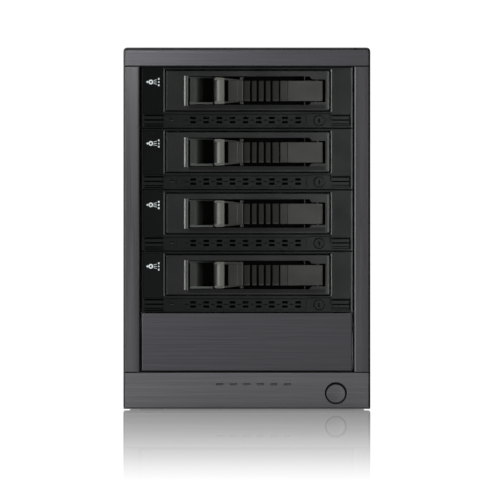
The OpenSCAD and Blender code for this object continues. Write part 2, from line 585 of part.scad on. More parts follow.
module board_ports() {
  port_block(ports[0]);
  difference() {
    port_block(ports[1]);
    for (x=[board_x-13,board_x-27])
      box(x,board_y1-6,ports[1][2]+1.5,x+11,board_y1+4,ports[1][3]-1.5);
  }
  for (port=[ports[2],ports[3]]) difference() {
    port_block(port);
    box(board_x-25,board_y1-10,port[2]+2,board_x-13,board_y1+4,port[3]-2);
  }
  for (jack=jacks) difference() {
    port_block(jack);
    ycyl(board_x-6,jack[2]+6,board_y1-9,board_y1+4,1.8,24);
  }
}
module board_sockets() {
  root_x = board_x + 0.1;                         // sunk into the board
  box(board_x-2.1,cpu_y-21,cpu_z-21,root_x,cpu_y+21,cpu_z+21);
  box(board_x-11,board_y0+4,78,root_x,board_y0+14,129);
  for (i=[0:3]) {
    z = data_socket_z(i);
    box(board_x-9,board_y0+4,z-3.5,root_x,board_y0+13,z+3.5);
  }
  for (i=[0,1]) difference() {
    box(board_x-7,memory_y(i),84,root_x,memory_y(i)+6.5,218);
    box(board_x-8,memory_y(i)+2.4,86,board_x-2,memory_y(i)+4.1,216);
  }
  box(board_x-11,board_y1-104,68,root_x,board_y1-15,76);
  for (i=[0:5]) xcyl(board_y1-40,board_z0+86+i*9,board_x-9,root_x,3.4,24);
  for (i=[0:3]) box(board_x-4,board_y1-56-i*9,222,root_x,board_y1-50-i*9,229);
}
module motherboard() color([0.05,0.22,0.16]) union() {
  difference() {
    box(board_x,board_y0,board_z0,board_x+1.6,board_y1,board_z1);
    for (hole=board_holes) xcyl(hole[0],hole[1],board_x-1,board_x+3,1.6,24);
  }
  board_ports();
  board_sockets();
}
module cpu_heatsink() color([0.66,0.67,0.69]) translate([board_x-2.2,cpu_y,cpu_z]) union() {
  translate([-5,-31,-31]) cube([5,62,62]);
  for (i=[0:11]) translate([-36,-31+i*5.5,-31]) cube([31.5,1.5,62]);
}
module memory_modules() color([0.05,0.20,0.12]) for (i=[0,1]) union() {
  y = memory_y(i);
  box(board_x-31,y+2.5,87,board_x-2.05,y+4,215);
  for (j=[0:7]) if (j!=4) box(board_x-26,y+1.2,92+j*15,board_x-12,y+2.6,102+j*15);
}
module io_shield() color([0.72,0.73,0.75]) difference() {
  edge = 0.6;                                     // clearance round each port
  union() {
    box(29.4,rear_y-1.75,78.4,76.0,inside_y1,239.3);
    box(31.0,rear_y-1.5,80.0,74.4,rear_y+0.3,237.7);
  }
  box(31.6,rear_y-3,80.6,73.8,rear_y-0.1,237.1);
  for (port=concat(ports,jacks))
    box(board_x-port[0]-edge,rear_y-3,port[2]-edge,board_x+1.2,rear_y+2,port[3]+edge);
  for (i=[0:3], j=[0:6]) ycyl(34.5+i*4,90+j*7,rear_y-2,rear_y+2,1.2,13);
}
module slot_cover() color([0.70,0.71,0.73]) difference() {
  union() {
    box(-37.5,rear_y+0.05,60,75.2,rear_y+0.9,76.2);
    box(-33.5,rear_y-0.6,62,65.5,rear_y+0.3,74.0);
  }
  for (i=[0:11]) box(-28+i*8,rear_y-2,65,-23+i*8,rear_y+2,71);
  ycyl(slot_screw[0],slot_screw[1],rear_y-2,rear_y+2,1.65,32);
}

// ---- Power supply, before its offset
module psu_shell() difference() {
  box(-80.6,rear_y-151,9,0.9,inside_y1,49.5);
  box(-79.6,rear_y-150,10,-0.1,rear_y-2.05,48.5);
  ycyl(psu_fan_x,psu_fan_z,rear_y-3,rear_y,18.6,64);
  for (c=corners) ycyl(psu_fan_x+c[0]*16,psu_fan_z+c[1]*16,rear_y-3,rear_y,1.7,24);
  box(-34,rear_y-3,18.8,-5,rear_y,39.6);
  for (i=[0:10]) box(-66,rear_y-140+i*10,45,-14,rear_y-135+i*10,51);
  box(-30,rear_y-153,20,-10,rear_y-148,38);
}
module mains_inlet() {
  difference() {
    union() {
      box(-33.8,rear_y-16,19,-5.2,rear_y-0.9,39.4);
      box(-35.2,rear_y-6,17.6,-3.8,rear_y-2.0,40.8);
    }
    yprism([[-31.3,22],[-7.7,22],[-7.7,33],[-11.7,36.6],[-27.3,36.6],[-31.3,33]],
      rear_y-13,rear_y+1);
  }
  for (x=[-26,-19.5,-13]) box(x-0.9,rear_y-13.5,27.2,x+0.9,rear_y-5,31.2);
}
// square ring with spokes inside and a wire grille behind the panel
module psu_fan_mount() {
  difference() {
    box(psu_fan_x-19.4,rear_y-12.2,psu_fan_z-19.1,psu_fan_x+19.4,rear_y-2.0,psu_fan_z+19.2);
    ycyl(psu_fan_x,psu_fan_z,rear_y-14,rear_y,18.4,64);
  }
  for (a=[0:60:179]) translate([psu_fan_x,rear_y-11.4,psu_fan_z]) rotate([0,a,0])
    translate([-18.8,-0.7,-0.9]) cube([37.6,1.4,1.8]);
  translate([psu_fan_x,rear_y-1.5,psu_fan_z]) {
    for (ring_r=[7,12,16.5]) rotate([90,0,0]) rotate_extrude($fn=64)
      translate([ring_r,0]) circle(r=0.55,$fn=16);
    for (a=[45,135]) rotate([0,a,0]) translate([-19.4,-0.5,-0.5]) cube([38.8,1,1]);
  }
}
module psu_case() color([0.62,0.63,0.65]) translate([psu_shift,0,0]) union() {
  psu_shell();
  mains_inlet();
  psu_fan_mount();
}

// ---- Fans
// seven tilted blades on a hub, trimmed to the tip radius
module rotor(hub_r,tip_r,height,chord,thick,tilt) union() {
  cylinder(h=height,r=hub_r,center=true,$fn=64);
  intersection() {
    for (i=[0:6]) rotate([0,0,i*360/7]) translate([hub_r-1,0,0]) rotate([tilt,0,0])
      translate([0,-chord/2,-thick/2]) cube([tip_r-hub_r+4,chord,thick]);
    cylinder(h=height,r=tip_r,center=true,$fn=96);
  }
}
module psu_rotor() color([0.10,0.10,0.11])
  translate([psu_shift+psu_fan_x,rear_y-6.5,psu_fan_z]) rotate([90,0,0])
    rotor(hub_r=9,tip_r=17.6,height=7,chord=9,thick=1.0,tilt=38);
module fan_rotor() color([0.09,0.09,0.095])
  translate([fan_x,rear_y-13.4,fan_z]) rotate([90,0,0])
    rotor(hub_r=17.5,tip_r=36.8,height=18.4,chord=24,thick=1.7,tilt=42);
module fan_frame() color([0.07,0.07,0.075])
  translate([fan_x,rear_y-13.55,fan_z]) rotate([90,0,0]) union() {
    difference() {
      translate([-40,-40,-12.5]) cube([80,80,25]);
      cylinder(h=40,r=38.0,center=true,$fn=96);
      for (c=corners) translate([c[0]*fan_screw,c[1]*fan_screw,-20])
        cylinder(h=40,r=2.15,$fn=32);
      difference() {                              // waist between the two flanges
        translate([-50,-50,-8.7]) cube([100,100,17.4]);
        cylinder(h=60,r=39.4,center=true,$fn=96);
      }
    }
    translate([0,0,9.9]) cylinder(h=2.5,r=16.5,$fn=64);
    for (a=[20:90:359]) rotate([0,0,a]) translate([15,-1.6,9.9]) cube([23.6,3.2,2.5]);
  }
module fan_guard() color([0.75,0.76,0.78])
  translate([fan_x,rear_y+1.0,fan_z]) rotate([90,0,0]) union() {
    for (ring_r=[9,17,25,33,39])
      rotate_extrude($fn=96) translate([ring_r,0]) circle(r=0.8,$fn=16);
    for (a=[45,135], x=[-46.6,8.6]) rotate([0,0,a]) translate([x,-0.8,0.1]) cube([38,1.6,0.75]);
    for (a=[45:90:359]) rotate([0,0,a]) translate([50.56,0,0.05]) difference() {
      cylinder(h=0.8,r=4.2,$fn=32);
      translate([0,0,-1]) cylinder(h=3,r=2.1,$fn=32);
    }
  }

// ---- Wiring
function edge_normal(a,b) = let(d=b-a, length=norm(d)) [-d[1]/length, d[0]/length];
// mitred offset direction at point i of a path
function path_normal(path,i) = i==0 ? edge_normal(path[0],path[1])
  : i==len(path)-1 ? edge_normal(path[i-1],path[i])
  : let(next=edge_normal(path[i],path[i+1]), sum=edge_normal(path[i-1],path[i])+next)
    sum/(sum*next);
module ribbon(path,z,width,thick) zprism(concat(
  [for (i=[0:len(path)-1]) path[i]+path_normal(path,i)*thick/2],
  [for (i=[len(path)-1:-1:0]) path[i]-path_normal(path,i)*thick/2]),z-width/2,z+width/2);
// data ribbon of bay k, folded at right angles down to its board socket
module data_cable(k) union() {
  z = bay_top(k) - 34;
  socket_z = data_socket_z(4-k);
  drop_x = 10 + 7*k;
  y = bay_y + data_plug_y + gap;
  box(-1.6,y,z-2.9,9.6,y+9,z+2.9);
  box(0,y+8.4,z-3.4,drop_x+3.4,y+9.8,z+3.4);
  box(drop_x-3.4,y+9.7,min(z,socket_z)-3.4,drop_x+3.4,y+11.1,max(z,socket_z)+3.4);
  ribbon([[drop_x-3.4,y+11.7],[44,y+11.7],[47.5,y+13],[50.5,y+16.5],[52.5,y+22],[54.6,y+25]],
    socket_z,6.8,1.4);
  box(53,board_y0+4.2,socket_z-2.9,62.0,board_y0+12.8,socket_z+2.9);
}
module bay_power_leads() union() {
  y = bay_y + power_plug_y + gap;
  box(-25,y,28,-15,y+1.4,bay_top(1)-30);
  box(-25,y,28,-15,rear_y-149,29.4);
  for (k=[1:4]) box(-33.5,y,bay_top(k)-38,-13.5,y+3.95,bay_top(k)-31);
}
module board_power_leads() union() {
  y = board_y0 + 3;
  box(-22,y,32,-12,rear_y-149,33.4);
  box(-22,y,32,52.4,y+10,33.4);
  box(51,y,32,52.4,y+10,110);
  box(51,y+1,82,60,y+11,125);
}
module cable_loom() color([0.08,0.08,0.085]) {
  for (k=[1:4]) data_cable(k);
  bay_power_leads();
  board_power_leads();
}

chassis_pan();
front_frame();
rear_panel();
drive_cage();
bezel_core();
bezel_top_bar();
bezel_bottom_bar();
bezel_left_pillar();
bezel_right_pillar();
power_button();
power_switch();
indicator_pipes();
rubber_feet();
bay_cover();
top_cover();
cover_thumbscrews();
for (k=[1:4]) in_bay(k) status_window();  // status_windows
for (k=[1:4]) in_bay(k) bay_shell();  // bay_shells
for (k=[1:4]) in_bay(k) backplane();  // backplane_boards
pan_head_screws();
board_tray();
motherboard();
cpu_heatsink();
memory_modules();
io_shield();
slot_cover();
psu_case();
psu_rotor();
fan_frame();
fan_rotor();
fan_guard();
cable_loom();
for (k=[1:4]) {
  in_bay(k) bay_bezel();
  in_bay(k) tray_front();
  in_bay(k) tray_carrier();
  in_bay(k) hard_drive();
  in_bay(k) lever();
  in_bay(k) latch();
  in_bay(k) key_lock();
}
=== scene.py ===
"""Compact storage enclosure with four drive bays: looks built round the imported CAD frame.

The scene is in metres, +Z up, front towards -Y, left towards -X.
Hand-built pieces are given in millimetres and scaled by MM.
"""
import bpy
import bmesh
import math
import json
from functools import cached_property
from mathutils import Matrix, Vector


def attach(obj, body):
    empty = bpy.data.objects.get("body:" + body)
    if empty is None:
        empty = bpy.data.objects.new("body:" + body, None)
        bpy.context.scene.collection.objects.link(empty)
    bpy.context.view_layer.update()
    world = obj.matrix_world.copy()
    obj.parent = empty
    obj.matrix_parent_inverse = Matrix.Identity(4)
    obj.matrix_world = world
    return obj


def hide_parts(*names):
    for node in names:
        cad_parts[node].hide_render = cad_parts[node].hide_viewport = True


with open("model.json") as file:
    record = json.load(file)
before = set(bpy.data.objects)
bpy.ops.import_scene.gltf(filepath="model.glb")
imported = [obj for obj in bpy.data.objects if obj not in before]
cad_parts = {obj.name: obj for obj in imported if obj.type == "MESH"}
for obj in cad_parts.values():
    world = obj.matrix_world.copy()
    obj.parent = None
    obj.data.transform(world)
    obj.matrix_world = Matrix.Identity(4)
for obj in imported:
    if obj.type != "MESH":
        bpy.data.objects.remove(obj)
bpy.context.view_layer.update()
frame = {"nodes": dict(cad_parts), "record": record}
NODE = frame["nodes"]
scene = bpy.context.scene

MM = 0.001
FACE_Y = -189.0            # front plane of the enclosure
BAYS = (1, 2, 3, 4)        # numbered from the top down
BAY_LEFT = -73.0
BAY_TOP = 236.4            # top edge of bay 1
BAY_PITCH = 42.4
PORT_Y = 184.4             # outer face of the rear ports
BOARD_X = 71.1             # face of the main board; its parts stand towards -X
BACKPLANE_Y = -11.45       # rear face of the backplane boards; their parts stand towards +Y


def bay_top(bay):
    return BAY_TOP - BAY_PITCH * (bay - 1)


# ------------------------------------------------------------------ node helpers
class Graph:
    """Short calls that build a node tree. Any value may be a number, a colour or a socket."""

    def __init__(self, tree):
        self.tree = tree
        tree.nodes.clear()

    def put(self, socket, value):
        if isinstance(value, bpy.types.NodeSocket):
            self.tree.links.new(value, socket)
        elif isinstance(value, tuple) and len(value) == 3 and socket.type == "RGBA":
            socket.default_value = (*value, 1.0)
        else:
            socket.default_value = value

    def node(self, kind, inputs=None, **settings):
        node = self.tree.nodes.new("ShaderNode" + kind)
        for key, value in settings.items():
            setattr(node, key, value)
        for key, value in (inputs or {}).items():
            self.put(node.inputs[key], value)
        return node

    def math(self, operation, a, b=0.0, c=None):
        inputs = {0: a, 1: b}
        if c is not None:
            inputs[2] = c
        return self.node("Math", inputs, operation=operation).outputs[0]

    def add(self, a, b):
        return self.math("ADD", a, b)

    def sub(self, a, b):
        return self.math("SUBTRACT", a, b)

    def mul(self, a, b):
        return self.math("MULTIPLY", a, b)

    def remap(self, value, low, high, to_low, to_high, interpolation="LINEAR"):
        inputs = {"Value": value, "From Min": low, "From Max": high,
                  "To Min": to_low, "To Max": to_high}
        return self.node("MapRange", inputs, interpolation_type=interpolation).outputs[0]


class Shader(Graph):
    """A material in object coordinates, ending in a Principled shader."""

    def __init__(self, name):
        self.material = bpy.data.materials.new(name)
        self.material.use_nodes = True
        super().__init__(self.material.node_tree)
        self.output = self.node("OutputMaterial")
        self.bsdf = self.node("BsdfPrincipled")
        self.put(self.output.inputs[0], self.bsdf.outputs[0])
        self.position = self.node("TexCoord").outputs["Object"]

    @cached_property
    def axes(self):
        return self.node("SeparateXYZ", {0: self.position}).outputs

    @property
    def x(self):
        return self.axes[0]

    @property
    def y(self):
        return self.axes[1]

    @property
    def z(self):
        return self.axes[2]

    def principled(self, **values):
        """Sets shader inputs; underscores stand for spaces."""
        for key, value in values.items():
            self.put(self.bsdf.inputs[key.replace("_", " ")], value)

    def scaled(self, scale):
        """Object coordinates times one scale, or one for each axis."""
        if not isinstance(scale, tuple):
            scale = (scale,) * 3
        return self.node("Mapping", {"Vector": self.position, "Scale": scale}).outputs[0]

    def noise(self, scale, detail, roughness):
        inputs = {"Vector": self.scaled(scale), "Scale": 1.0, "Detail": detail,
                  "Roughness": roughness}
        return self.node("TexNoise", inputs).outputs[0]

    def voronoi(self, scale, output="Distance", **settings):
        inputs = {"Vector": self.scaled(scale), "Scale": 1.0}
        return self.node("TexVoronoi", inputs, **settings).outputs[output]

    def spread(self, noise, to_low=0.0, to_high=1.0):
        """Stretches the middle range of a noise over the given range."""
        return self.remap(noise, 0.3, 0.7, to_low, to_high)

    def mix(self, factor, a, b):
        return self.node("Mix", {0: factor, 6: a, 7: b}, data_type="RGBA").outputs[2]

    def tones(self, noise, base, dark, light):
        """The base colour varied by a noise between two multiples of itself."""
        return self.mix(self.spread(noise), tinted(base, dark), tinted(base, light))

    def bump(self, height, strength, distance):
        inputs = {"Strength": strength, "Distance": distance, "Height": height}
        return self.node("Bump", inputs).outputs[0]

    def between(self, value, low, high):
        return self.mul(self.math("GREATER_THAN", value, low),
                        self.math("LESS_THAN", value, high))

    def times(self, color, factor):
        return self.node("VectorMath", {0: color, "Scale": factor}, operation="SCALE").outputs[0]

    def inside(self, low, high):
        """1 inside the box between two corners in mm."""
        result = None
        for axis, a, b in zip((self.x, self.y, self.z), low, high):
            within = self.between(axis, a * MM, b * MM)
            result = within if result is None else self.mul(result, within)
        return result

    def bay_place(self):
        """Place in the bay in mm: x from its left edge, z down from its top (negative)."""
        x = self.math("MULTIPLY_ADD", self.x, 1000.0, -BAY_LEFT)
        bays_up = self.math("DIVIDE", self.math("MULTIPLY_ADD", self.z, 1000.0, -BAY_TOP),
                            BAY_PITCH)
        z = self.math("MULTIPLY_ADD", self.math("FRACT", bays_up), BAY_PITCH, -BAY_PITCH)
        return x, z


def tinted(color, factor):
    return tuple(c * factor for c in color)


def lifted(color, amount):
    return tuple(c + amount for c in color)


# ------------------------------------------------------------------ material kinds
def brushed(name, base, along="X", shadow_ring_centre=None):
    """Dark anodised alloy drawn along X or Z. The last argument, if given, is the centre (x, z) in
    mm of a painted shadow ring: the colour darkens outside 6.1 mm from it.
    """
    # brush lines: scale for lines along X, detail, roughness, weight
    layers = (((22, 900, 5200), 2.0, 0.6, 0.5),
              ((9, 300, 1500), 3.0, 0.6, 0.32),
              ((3, 100, 420), 2.0, 0.5, 0.18))
    n = Shader(name)
    fine, middle, wide = [
        n.mul(n.noise(scale if along == "X" else scale[::-1], detail, roughness), weight)
        for scale, detail, roughness, weight in layers]
    lines = n.add(fine, n.add(middle, wide))
    color = n.mix(n.remap(lines, 0.32, 0.68, 0.0, 1.0), tinted(base, 0.68), tinted(base, 1.32))
    cloud = n.noise(14, 3.0, 0.55)
    color = n.mix(n.spread(cloud, 0.0, 0.08), color, tinted(base, 1.4))
    if shadow_ring_centre:
        dx = n.sub(n.x, shadow_ring_centre[0] * MM)
        dz = n.sub(n.z, shadow_ring_centre[1] * MM)
        radius = n.math("SQRT", n.add(n.mul(dx, dx), n.mul(dz, dz)))
        light = n.remap(radius, 0.0061, 0.0066, 1.0, 0.14)       # painted shadow outside 6.1 mm from the given centre, with weaker specular there
        color = n.times(color, light)
        n.principled(Specular_Tint=n.mix(light, (0.2, 0.2, 0.2), (1, 1, 1)))
    tangent = n.node("Tangent", direction_type="RADIAL", axis="Z" if along == "X" else "Y")
    n.principled(Base_Color=color, Metallic=0.9, Roughness=n.spread(lines, 0.48, 0.38),
                 Anisotropic=0.5, Tangent=tangent.outputs[0],
                 Normal=n.bump(lines, 0.26, 0.00003))
    return n.material


def painted_light_patches(n, color, specular, base, drift, patches):
    """Painted light and shade: paler or darker patches. See the patch tables for the columns."""
    x, z = n.bay_place()
    for x0, x1, z0, z1, reach, tint, gloss, fade in patches:
        patch = n.mul(n.between(x, x0, x1), n.between(z, z0, z1))
        patch = n.mul(patch, n.math("LESS_THAN", n.y, (FACE_Y + reach) * MM))
        if gloss < 1:
            specular = n.mul(n.sub(1.0, n.mul(patch, 1.0 - gloss)), specular)
        patch = n.mul(patch, n.spread(drift, 0.8, 1.0))
        if fade:
            patch = n.mul(patch, n.remap(x, x0 + 0.3, x0 + fade, 1.0, 0.08))
        color = n.mix(patch, color, tinted(base, tint))
    return color, specular


def vent_shade(n, color, specular):
    """Shade round the two rows of vent slots in each bay front."""
    first, pitch, width = 33.95, 9.05, 4.0
    x, z = n.bay_place()
    along = n.mul(n.math("FRACT", n.math("DIVIDE", n.add(x, -first), pitch)), pitch)
    slots = n.mul(n.math("LESS_THAN", along, width), n.between(x, 33.9, 112.5))
    rows = n.add(n.between(z, -36.02, -34.28), n.between(z, -38.92, -37.18))
    slots = n.mul(slots, rows)
    color = n.times(color, n.sub(1.0, n.mul(slots, 0.85)))
    return color, n.mul(n.sub(1.0, n.mul(slots, 0.8)), specular)


def plastic(name, base, rough, grain, grain_mm, specular=0.5, deep=None, grip=None,
            patches=(), vents=False, low_edge=None):
    """Moulded plastic: spark-eroded grain, faint flow marks and slight colour drift.

    grain, grain_mm  strength and size of the surface grain
    deep      (start, end in mm behind the face, light left there, x in m left of which
              no shade falls, or None)
    grip      (x in m left of which the colour is paler, a painted highlight, colour factor)
    low_edge  (z in mm below which the colour is scaled as painted light, colour factor)
    """
    n = Shader(name)
    pores = n.noise(1000 / grain_mm, 2.0, 0.55)
    pits = n.voronoi(1000 / (grain_mm * 1.7))
    height = n.add(n.mul(pores, 0.7), n.mul(pits, 0.3))
    drift = n.noise((38, 38, 60), 3.0, 0.6)
    color = n.mix(n.remap(drift, 0.35, 0.65, 0.0, 1.0), tinted(base, 0.9), tinted(base, 1.25))
    color = n.mix(n.remap(pores, 0.35, 0.7, 0.0, 0.22), color, lifted(tinted(base, 1.7), 0.002))
    n.principled(IOR=1.46, Roughness=n.add(n.spread(drift, rough - 0.04, rough + 0.05),
                                           n.spread(pores, -0.03, 0.03)))
    if deep:
        start, end, lowest, x_limit = deep
        light = n.remap(n.y, (FACE_Y + start) * MM, (FACE_Y + end) * MM, 1.0, lowest)
        if x_limit is not None:
            light = n.math("MAXIMUM", light, n.math("LESS_THAN", n.x, x_limit))
        color = n.times(color, light)
        specular = n.mul(light, specular)
    if grip:
        x_edge, tint = grip
        # painted highlight: the lever is paler left of this x, on the finger grip
        grip_highlight = n.mul(n.remap(n.x, x_edge, x_edge + 0.0006, 1.0, 0.0), n.spread(drift, 0.8, 1.0))
        color = n.mix(grip_highlight, color, tinted(base, tint))
    if patches:
        color, specular = painted_light_patches(n, color, specular, base, drift, patches)
    # painted highlight: below this height the colour is paler
    if low_edge:
        z_edge, tint = low_edge
        color = n.mix(n.math("LESS_THAN", n.z, z_edge * MM), color, tinted(base, tint))
    if vents:
        color, specular = vent_shade(n, color, specular)
    n.principled(Base_Color=color, Specular_IOR_Level=specular,
                 Normal=n.bump(height, grain, grain_mm * MM * 0.22))
    return n.material


def powder(name, base):
    """Powder coat with orange peel and fine pale specks."""
    n = Shader(name)
    peel = n.noise(1500, 2.0, 0.5)
    specks = n.voronoi(3600, feature="SMOOTH_F1")
    height = n.add(n.mul(peel, 0.65), n.mul(specks, 0.35))
    color = n.tones(n.noise(9, 4.0, 0.6), base, 0.94, 1.07)
    color = n.mix(n.remap(specks, 0.1, 0.6, 0.30, 0.0), color, tinted(base, 2.4))
    worn = n.noise(26, 5.0, 0.7)
    roughness = n.add(n.spread(peel, 0.40, 0.52), n.remap(worn, 0.35, 0.7, -0.012, 0.022))
    n.principled(Base_Color=color, Roughness=roughness, Coat_Weight=0.12, Coat_Roughness=0.35,
                 Normal=n.bump(height, 0.34, 0.00009))
    return n.material


def zinc(name):
    """Zinc-plated sheet with spangle and roll lines."""
    n = Shader(name)
    spangle = n.node("RGBToBW", {0: n.voronoi(260, "Color")}).outputs[0]
    roll = n.noise((30, 30, 1400), 3.0, 0.6)
    tone = n.add(n.mul(spangle, 0.35), n.mul(roll, 0.65))
    n.principled(Base_Color=n.tones(tone, (0.40, 0.41, 0.43), 0.84, 1.1), Metallic=1.0,
                 Roughness=n.remap(tone, 0.25, 0.75, 0.27, 0.44),
                 Normal=n.bump(roll, 0.1, 0.00004))
    return n.material


def two_finish(name, outer, inner, boxes):
    """One finish, with a second inside the boxes (mm). A finish is colour, metallic, roughness."""
    n = Shader(name)
    within = 0.0
    for low, high in boxes:
        within = n.math("MAXIMUM", within, n.inside(low, high))
    grain = n.noise((900, 900, 1400), 3.0, 0.6)
    color = n.mix(within, n.tones(grain, outer[0], 0.84, 1.1), n.tones(grain, inner[0], 0.8, 1.2))
    metallic, rough = [n.math("MULTIPLY_ADD", within, inner[i] - outer[i], outer[i])
                       for i in (1, 2)]
    n.principled(Base_Color=color, Metallic=metallic,
                 Roughness=n.add(rough, n.remap(grain, 0.25, 0.75, -0.05, 0.08)),
                 Normal=n.bump(grain, 0.12, 0.00004))
    return n.material


def rubber(name, base):
    """Matt rubber with a little dust."""
    n = Shader(name)
    grain = n.noise(2600, 3.0, 0.6)
    dust = n.noise(160, 4.0, 0.65)
    n.principled(Base_Color=n.mix(n.remap(dust, 0.5, 0.8, 0, 0.35), base, lifted(base, 0.035)),
                 Roughness=n.spread(grain, 0.72, 0.88), Normal=n.bump(grain, 0.3, 0.00006))
    return n.material


def glossy(name, base, rough, coat, specular=0.5, glow=0.0):
    """Smooth plastic or print, faintly wavy. glow is its emission strength."""
    n = Shader(name)
    waves = n.noise(55, 2.0, 0.5)
    specks = n.noise(1900, 2.0, 0.5)
    color = n.mix(n.remap(waves, 0.35, 0.65, 0, 1), tinted(base, 0.85), tinted(base, 1.2))
    n.principled(Base_Color=color, Roughness=n.spread(specks, rough, rough + 0.06),
                 Coat_Weight=coat, Coat_Roughness=0.05, Specular_IOR_Level=specular,
                 Normal=n.bump(waves, 0.04, 0.0004))
    if glow:
        n.principled(Emission_Color=color, Emission_Strength=glow)
    return n.material


def metal(name, base, rough, lines=3000, bump=0.1):
    """Bare metal. lines is the scale of the surface marks."""
    n = Shader(name)
    marks = n.noise(lines, 3.0, 0.6)
    blots = n.noise(90, 3.0, 0.6)
    color = n.tones(marks, base, 0.86, 1.1)
    color = n.mix(n.remap(blots, 0.5, 0.8, 0, 0.3), color, tinted(base, 0.6))
    n.principled(Base_Color=color, Metallic=1.0,
                 Roughness=n.remap(marks, 0.25, 0.75, rough - 0.06, rough + 0.1),
                 Normal=n.bump(marks, bump, 0.00003))
    return n.material


def circuit_board(name, base, parts=()):
    """Solder mask over copper runs and pads.

    parts are boxes of another finish on the same mesh:
    (low corner mm, high corner mm, colour, metallic, roughness).
    """
    n = Shader(name)

    def blend(factor, old, new):
        return n.add(n.mul(old, n.sub(1.0, factor)), n.mul(factor, new))

    cells = n.voronoi(260, distance="CHEBYCHEV")
    runs = n.remap(n.math("PINGPONG", n.mul(cells, 7.0), 0.5), 0.2, 0.3, 0.0, 1.0)
    pads = n.remap(n.voronoi(420), 0.12, 0.16, 1.0, 0.0)
    cloud = n.noise(30, 3.0, 0.6)
    color = n.mix(n.mul(runs, 0.55), base, tinted(base, 1.9))
    color = n.mix(n.spread(cloud, 0, 0.3), color, tinted(base, 0.55))
    color = n.mix(pads, color, (0.36, 0.30, 0.16))
    roughness = n.remap(runs, 0, 1, 0.34, 0.26)
    metallic = n.mul(pads, 0.8)
    mask = 1.0                                      # how much of the coated board shows
    grain = n.noise(1400, 3.0, 0.6)
    for low, high, part_color, part_metallic, part_roughness in parts:
        within = n.inside(low, high)
        color = n.mix(within, color, n.tones(grain, part_color, 0.8, 1.15))
        roughness = blend(within, roughness, part_roughness)
        metallic = blend(within, metallic, part_metallic)
        mask = n.mul(mask, n.sub(1.0, n.mul(within, 0.9)))
    n.principled(Base_Color=color, Roughness=roughness, Metallic=metallic,
                 Coat_Weight=n.mul(mask, 0.3), Coat_Roughness=0.2,
                 Normal=n.bump(n.sub(runs, pads), n.mul(mask, 0.3), 0.00004))
    return n.material


def printed_label(name):
    """A paper drive label: plain panels and bars, no lettering."""
    n = Shader(name)
    row_pitch = 9.0
    paper = n.noise(900, 3.0, 0.6)
    color = n.mix(n.spread(paper), (0.62, 0.63, 0.62), (0.74, 0.75, 0.74))
    bars = n.between(n.math("FRACT", n.mul(n.y, 1000 / row_pitch)), 0.12, 0.40)
    breaks = n.math("GREATER_THAN", n.noise((140, 70, 0), 0.0, 0.5), 0.46)
    inner = n.between(n.x, -0.034, 0.020)
    ink = n.mul(n.mul(bars, breaks), inner)
    n.principled(Base_Color=n.mix(ink, color, (0.07, 0.075, 0.08)),
                 Roughness=n.spread(paper, 0.5, 0.62), Normal=n.bump(paper, 0.1, 0.00004))
    return n.material


# ------------------------------------------------------------------ materials
# Patches of painted light and shade, in mm from the bay's left and top edges:
# x0, x1, z0, z1, reach behind the face, colour factor, gloss factor, fade length along x (0: none)
# painted shade: the bezel's right edge and the gap right of the bays are darker
RIM_PATCHES = (
    (156.7, 158.6, -43, 1, 1.6, 0.30, 0.30, 0),
    (146.9, 148.7, -43, 1, 4.0, 0.40, 0.25, 0))
# painted highlight: a bright line down the right edge of the bay front
BAY_PATCHES = ((145.4, 146.2, -41.6, -0.1, 2.8, 8.0, 1, 0),)
# painted light: paler finger-well wall fading to the right, raised bar, lips above and below the
# well, and right edge; painted shade on the lower band
TRAY_PATCHES = (
    (33.9, 42.9, -24.15, -7.45, 11, 6.0, 0.10, 6.2),
    (29.6, 32.5, -26.6, -6.1, 2.8, 5.6, 1, 0),
    (33.0, 52.0, -25.7, -24.1, 2.8, 16.0, 1, 30),
    (33.0, 44.0, -7.6, -6.7, 2.8, 9.0, 1, 10),
    (33.0, 127.0, -28.8, -25.9, 2.8, 0.6, 0.60, 0),
    (128.3, 129.9, -29.0, -3.2, 2.8, 4.0, 1, 0))
# painted shade: the lever's ribs are darker
LEVER_PATCHES = ((70.4, 96.4, -22.4, -9.4, 99, 0.65, 0.65, 0),)
LEVER_GRIP_X = -0.0158          # metres; the finger grip lies left of this
# centre (x, z) in mm of the painted shadow ring round the power button
BUTTON_SHADOW_CENTRE = (61.4, 10.9)

BAR_ALLOY = (0.143, 0.141, 0.151)
BLACK = (0.014, 0.014, 0.015)
NICKEL = (0.62, 0.62, 0.64)
GREY = (0.56, 0.57, 0.60)
BLUE = (0.03, 0.09, 0.28)
GOLD = (0.72, 0.52, 0.22)
PCB_GREEN = (0.008, 0.055, 0.026)

# Finished zones on the board meshes: low corner, high corner, colour, metallic, roughness
MAIN_BOARD_PARTS = (
    ((0, 0, 60), (71.0, 158, 240), BLACK, 0.0, 0.45),
    ((0, 158, 142), (71.0, 190, 240), NICKEL, 1.0, 0.28),
    ((0, 158, 90), (71.0, 190, 144), BLACK, 0.0, 0.4),
    ((0, 136, 146), (71.0, 147, 202), GREY, 1.0, 0.3),
    ((0, 30, 82), (71.0, 40.3, 220), BLUE, 0.0, 0.4))
MEMORY_PARTS = (
    ((0, 34.5, 60), (71, 36.27, 240), BLACK, 0.0, 0.5),
    ((0, 44.5, 60), (71, 46.27, 240), BLACK, 0.0, 0.5),
    ((66.4, 34, 60), (71, 48, 240), GOLD, 1.0, 0.25))
BACKPLANE_PARTS = (
    ((-80, -11.38, 0), (80, 10, 260), BLACK, 0.0, 0.42),
    ((-80, -40, 0), (80, -13.0, 260), BLACK, 0.0, 0.42),
    ((19, -11.38, 0), (46, 10, 260), GREY, 1.0, 0.3))
SUPPLY_BLACK_BOXES = (
    ((-31.5, 168, 17), (0.9, 180.0, 41.5)),
    ((-31.5, 179.9, 18.5), (0.9, 190, 40.5)),
    ((-76, 172, 9.5), (-36, 182.8, 48.6)))

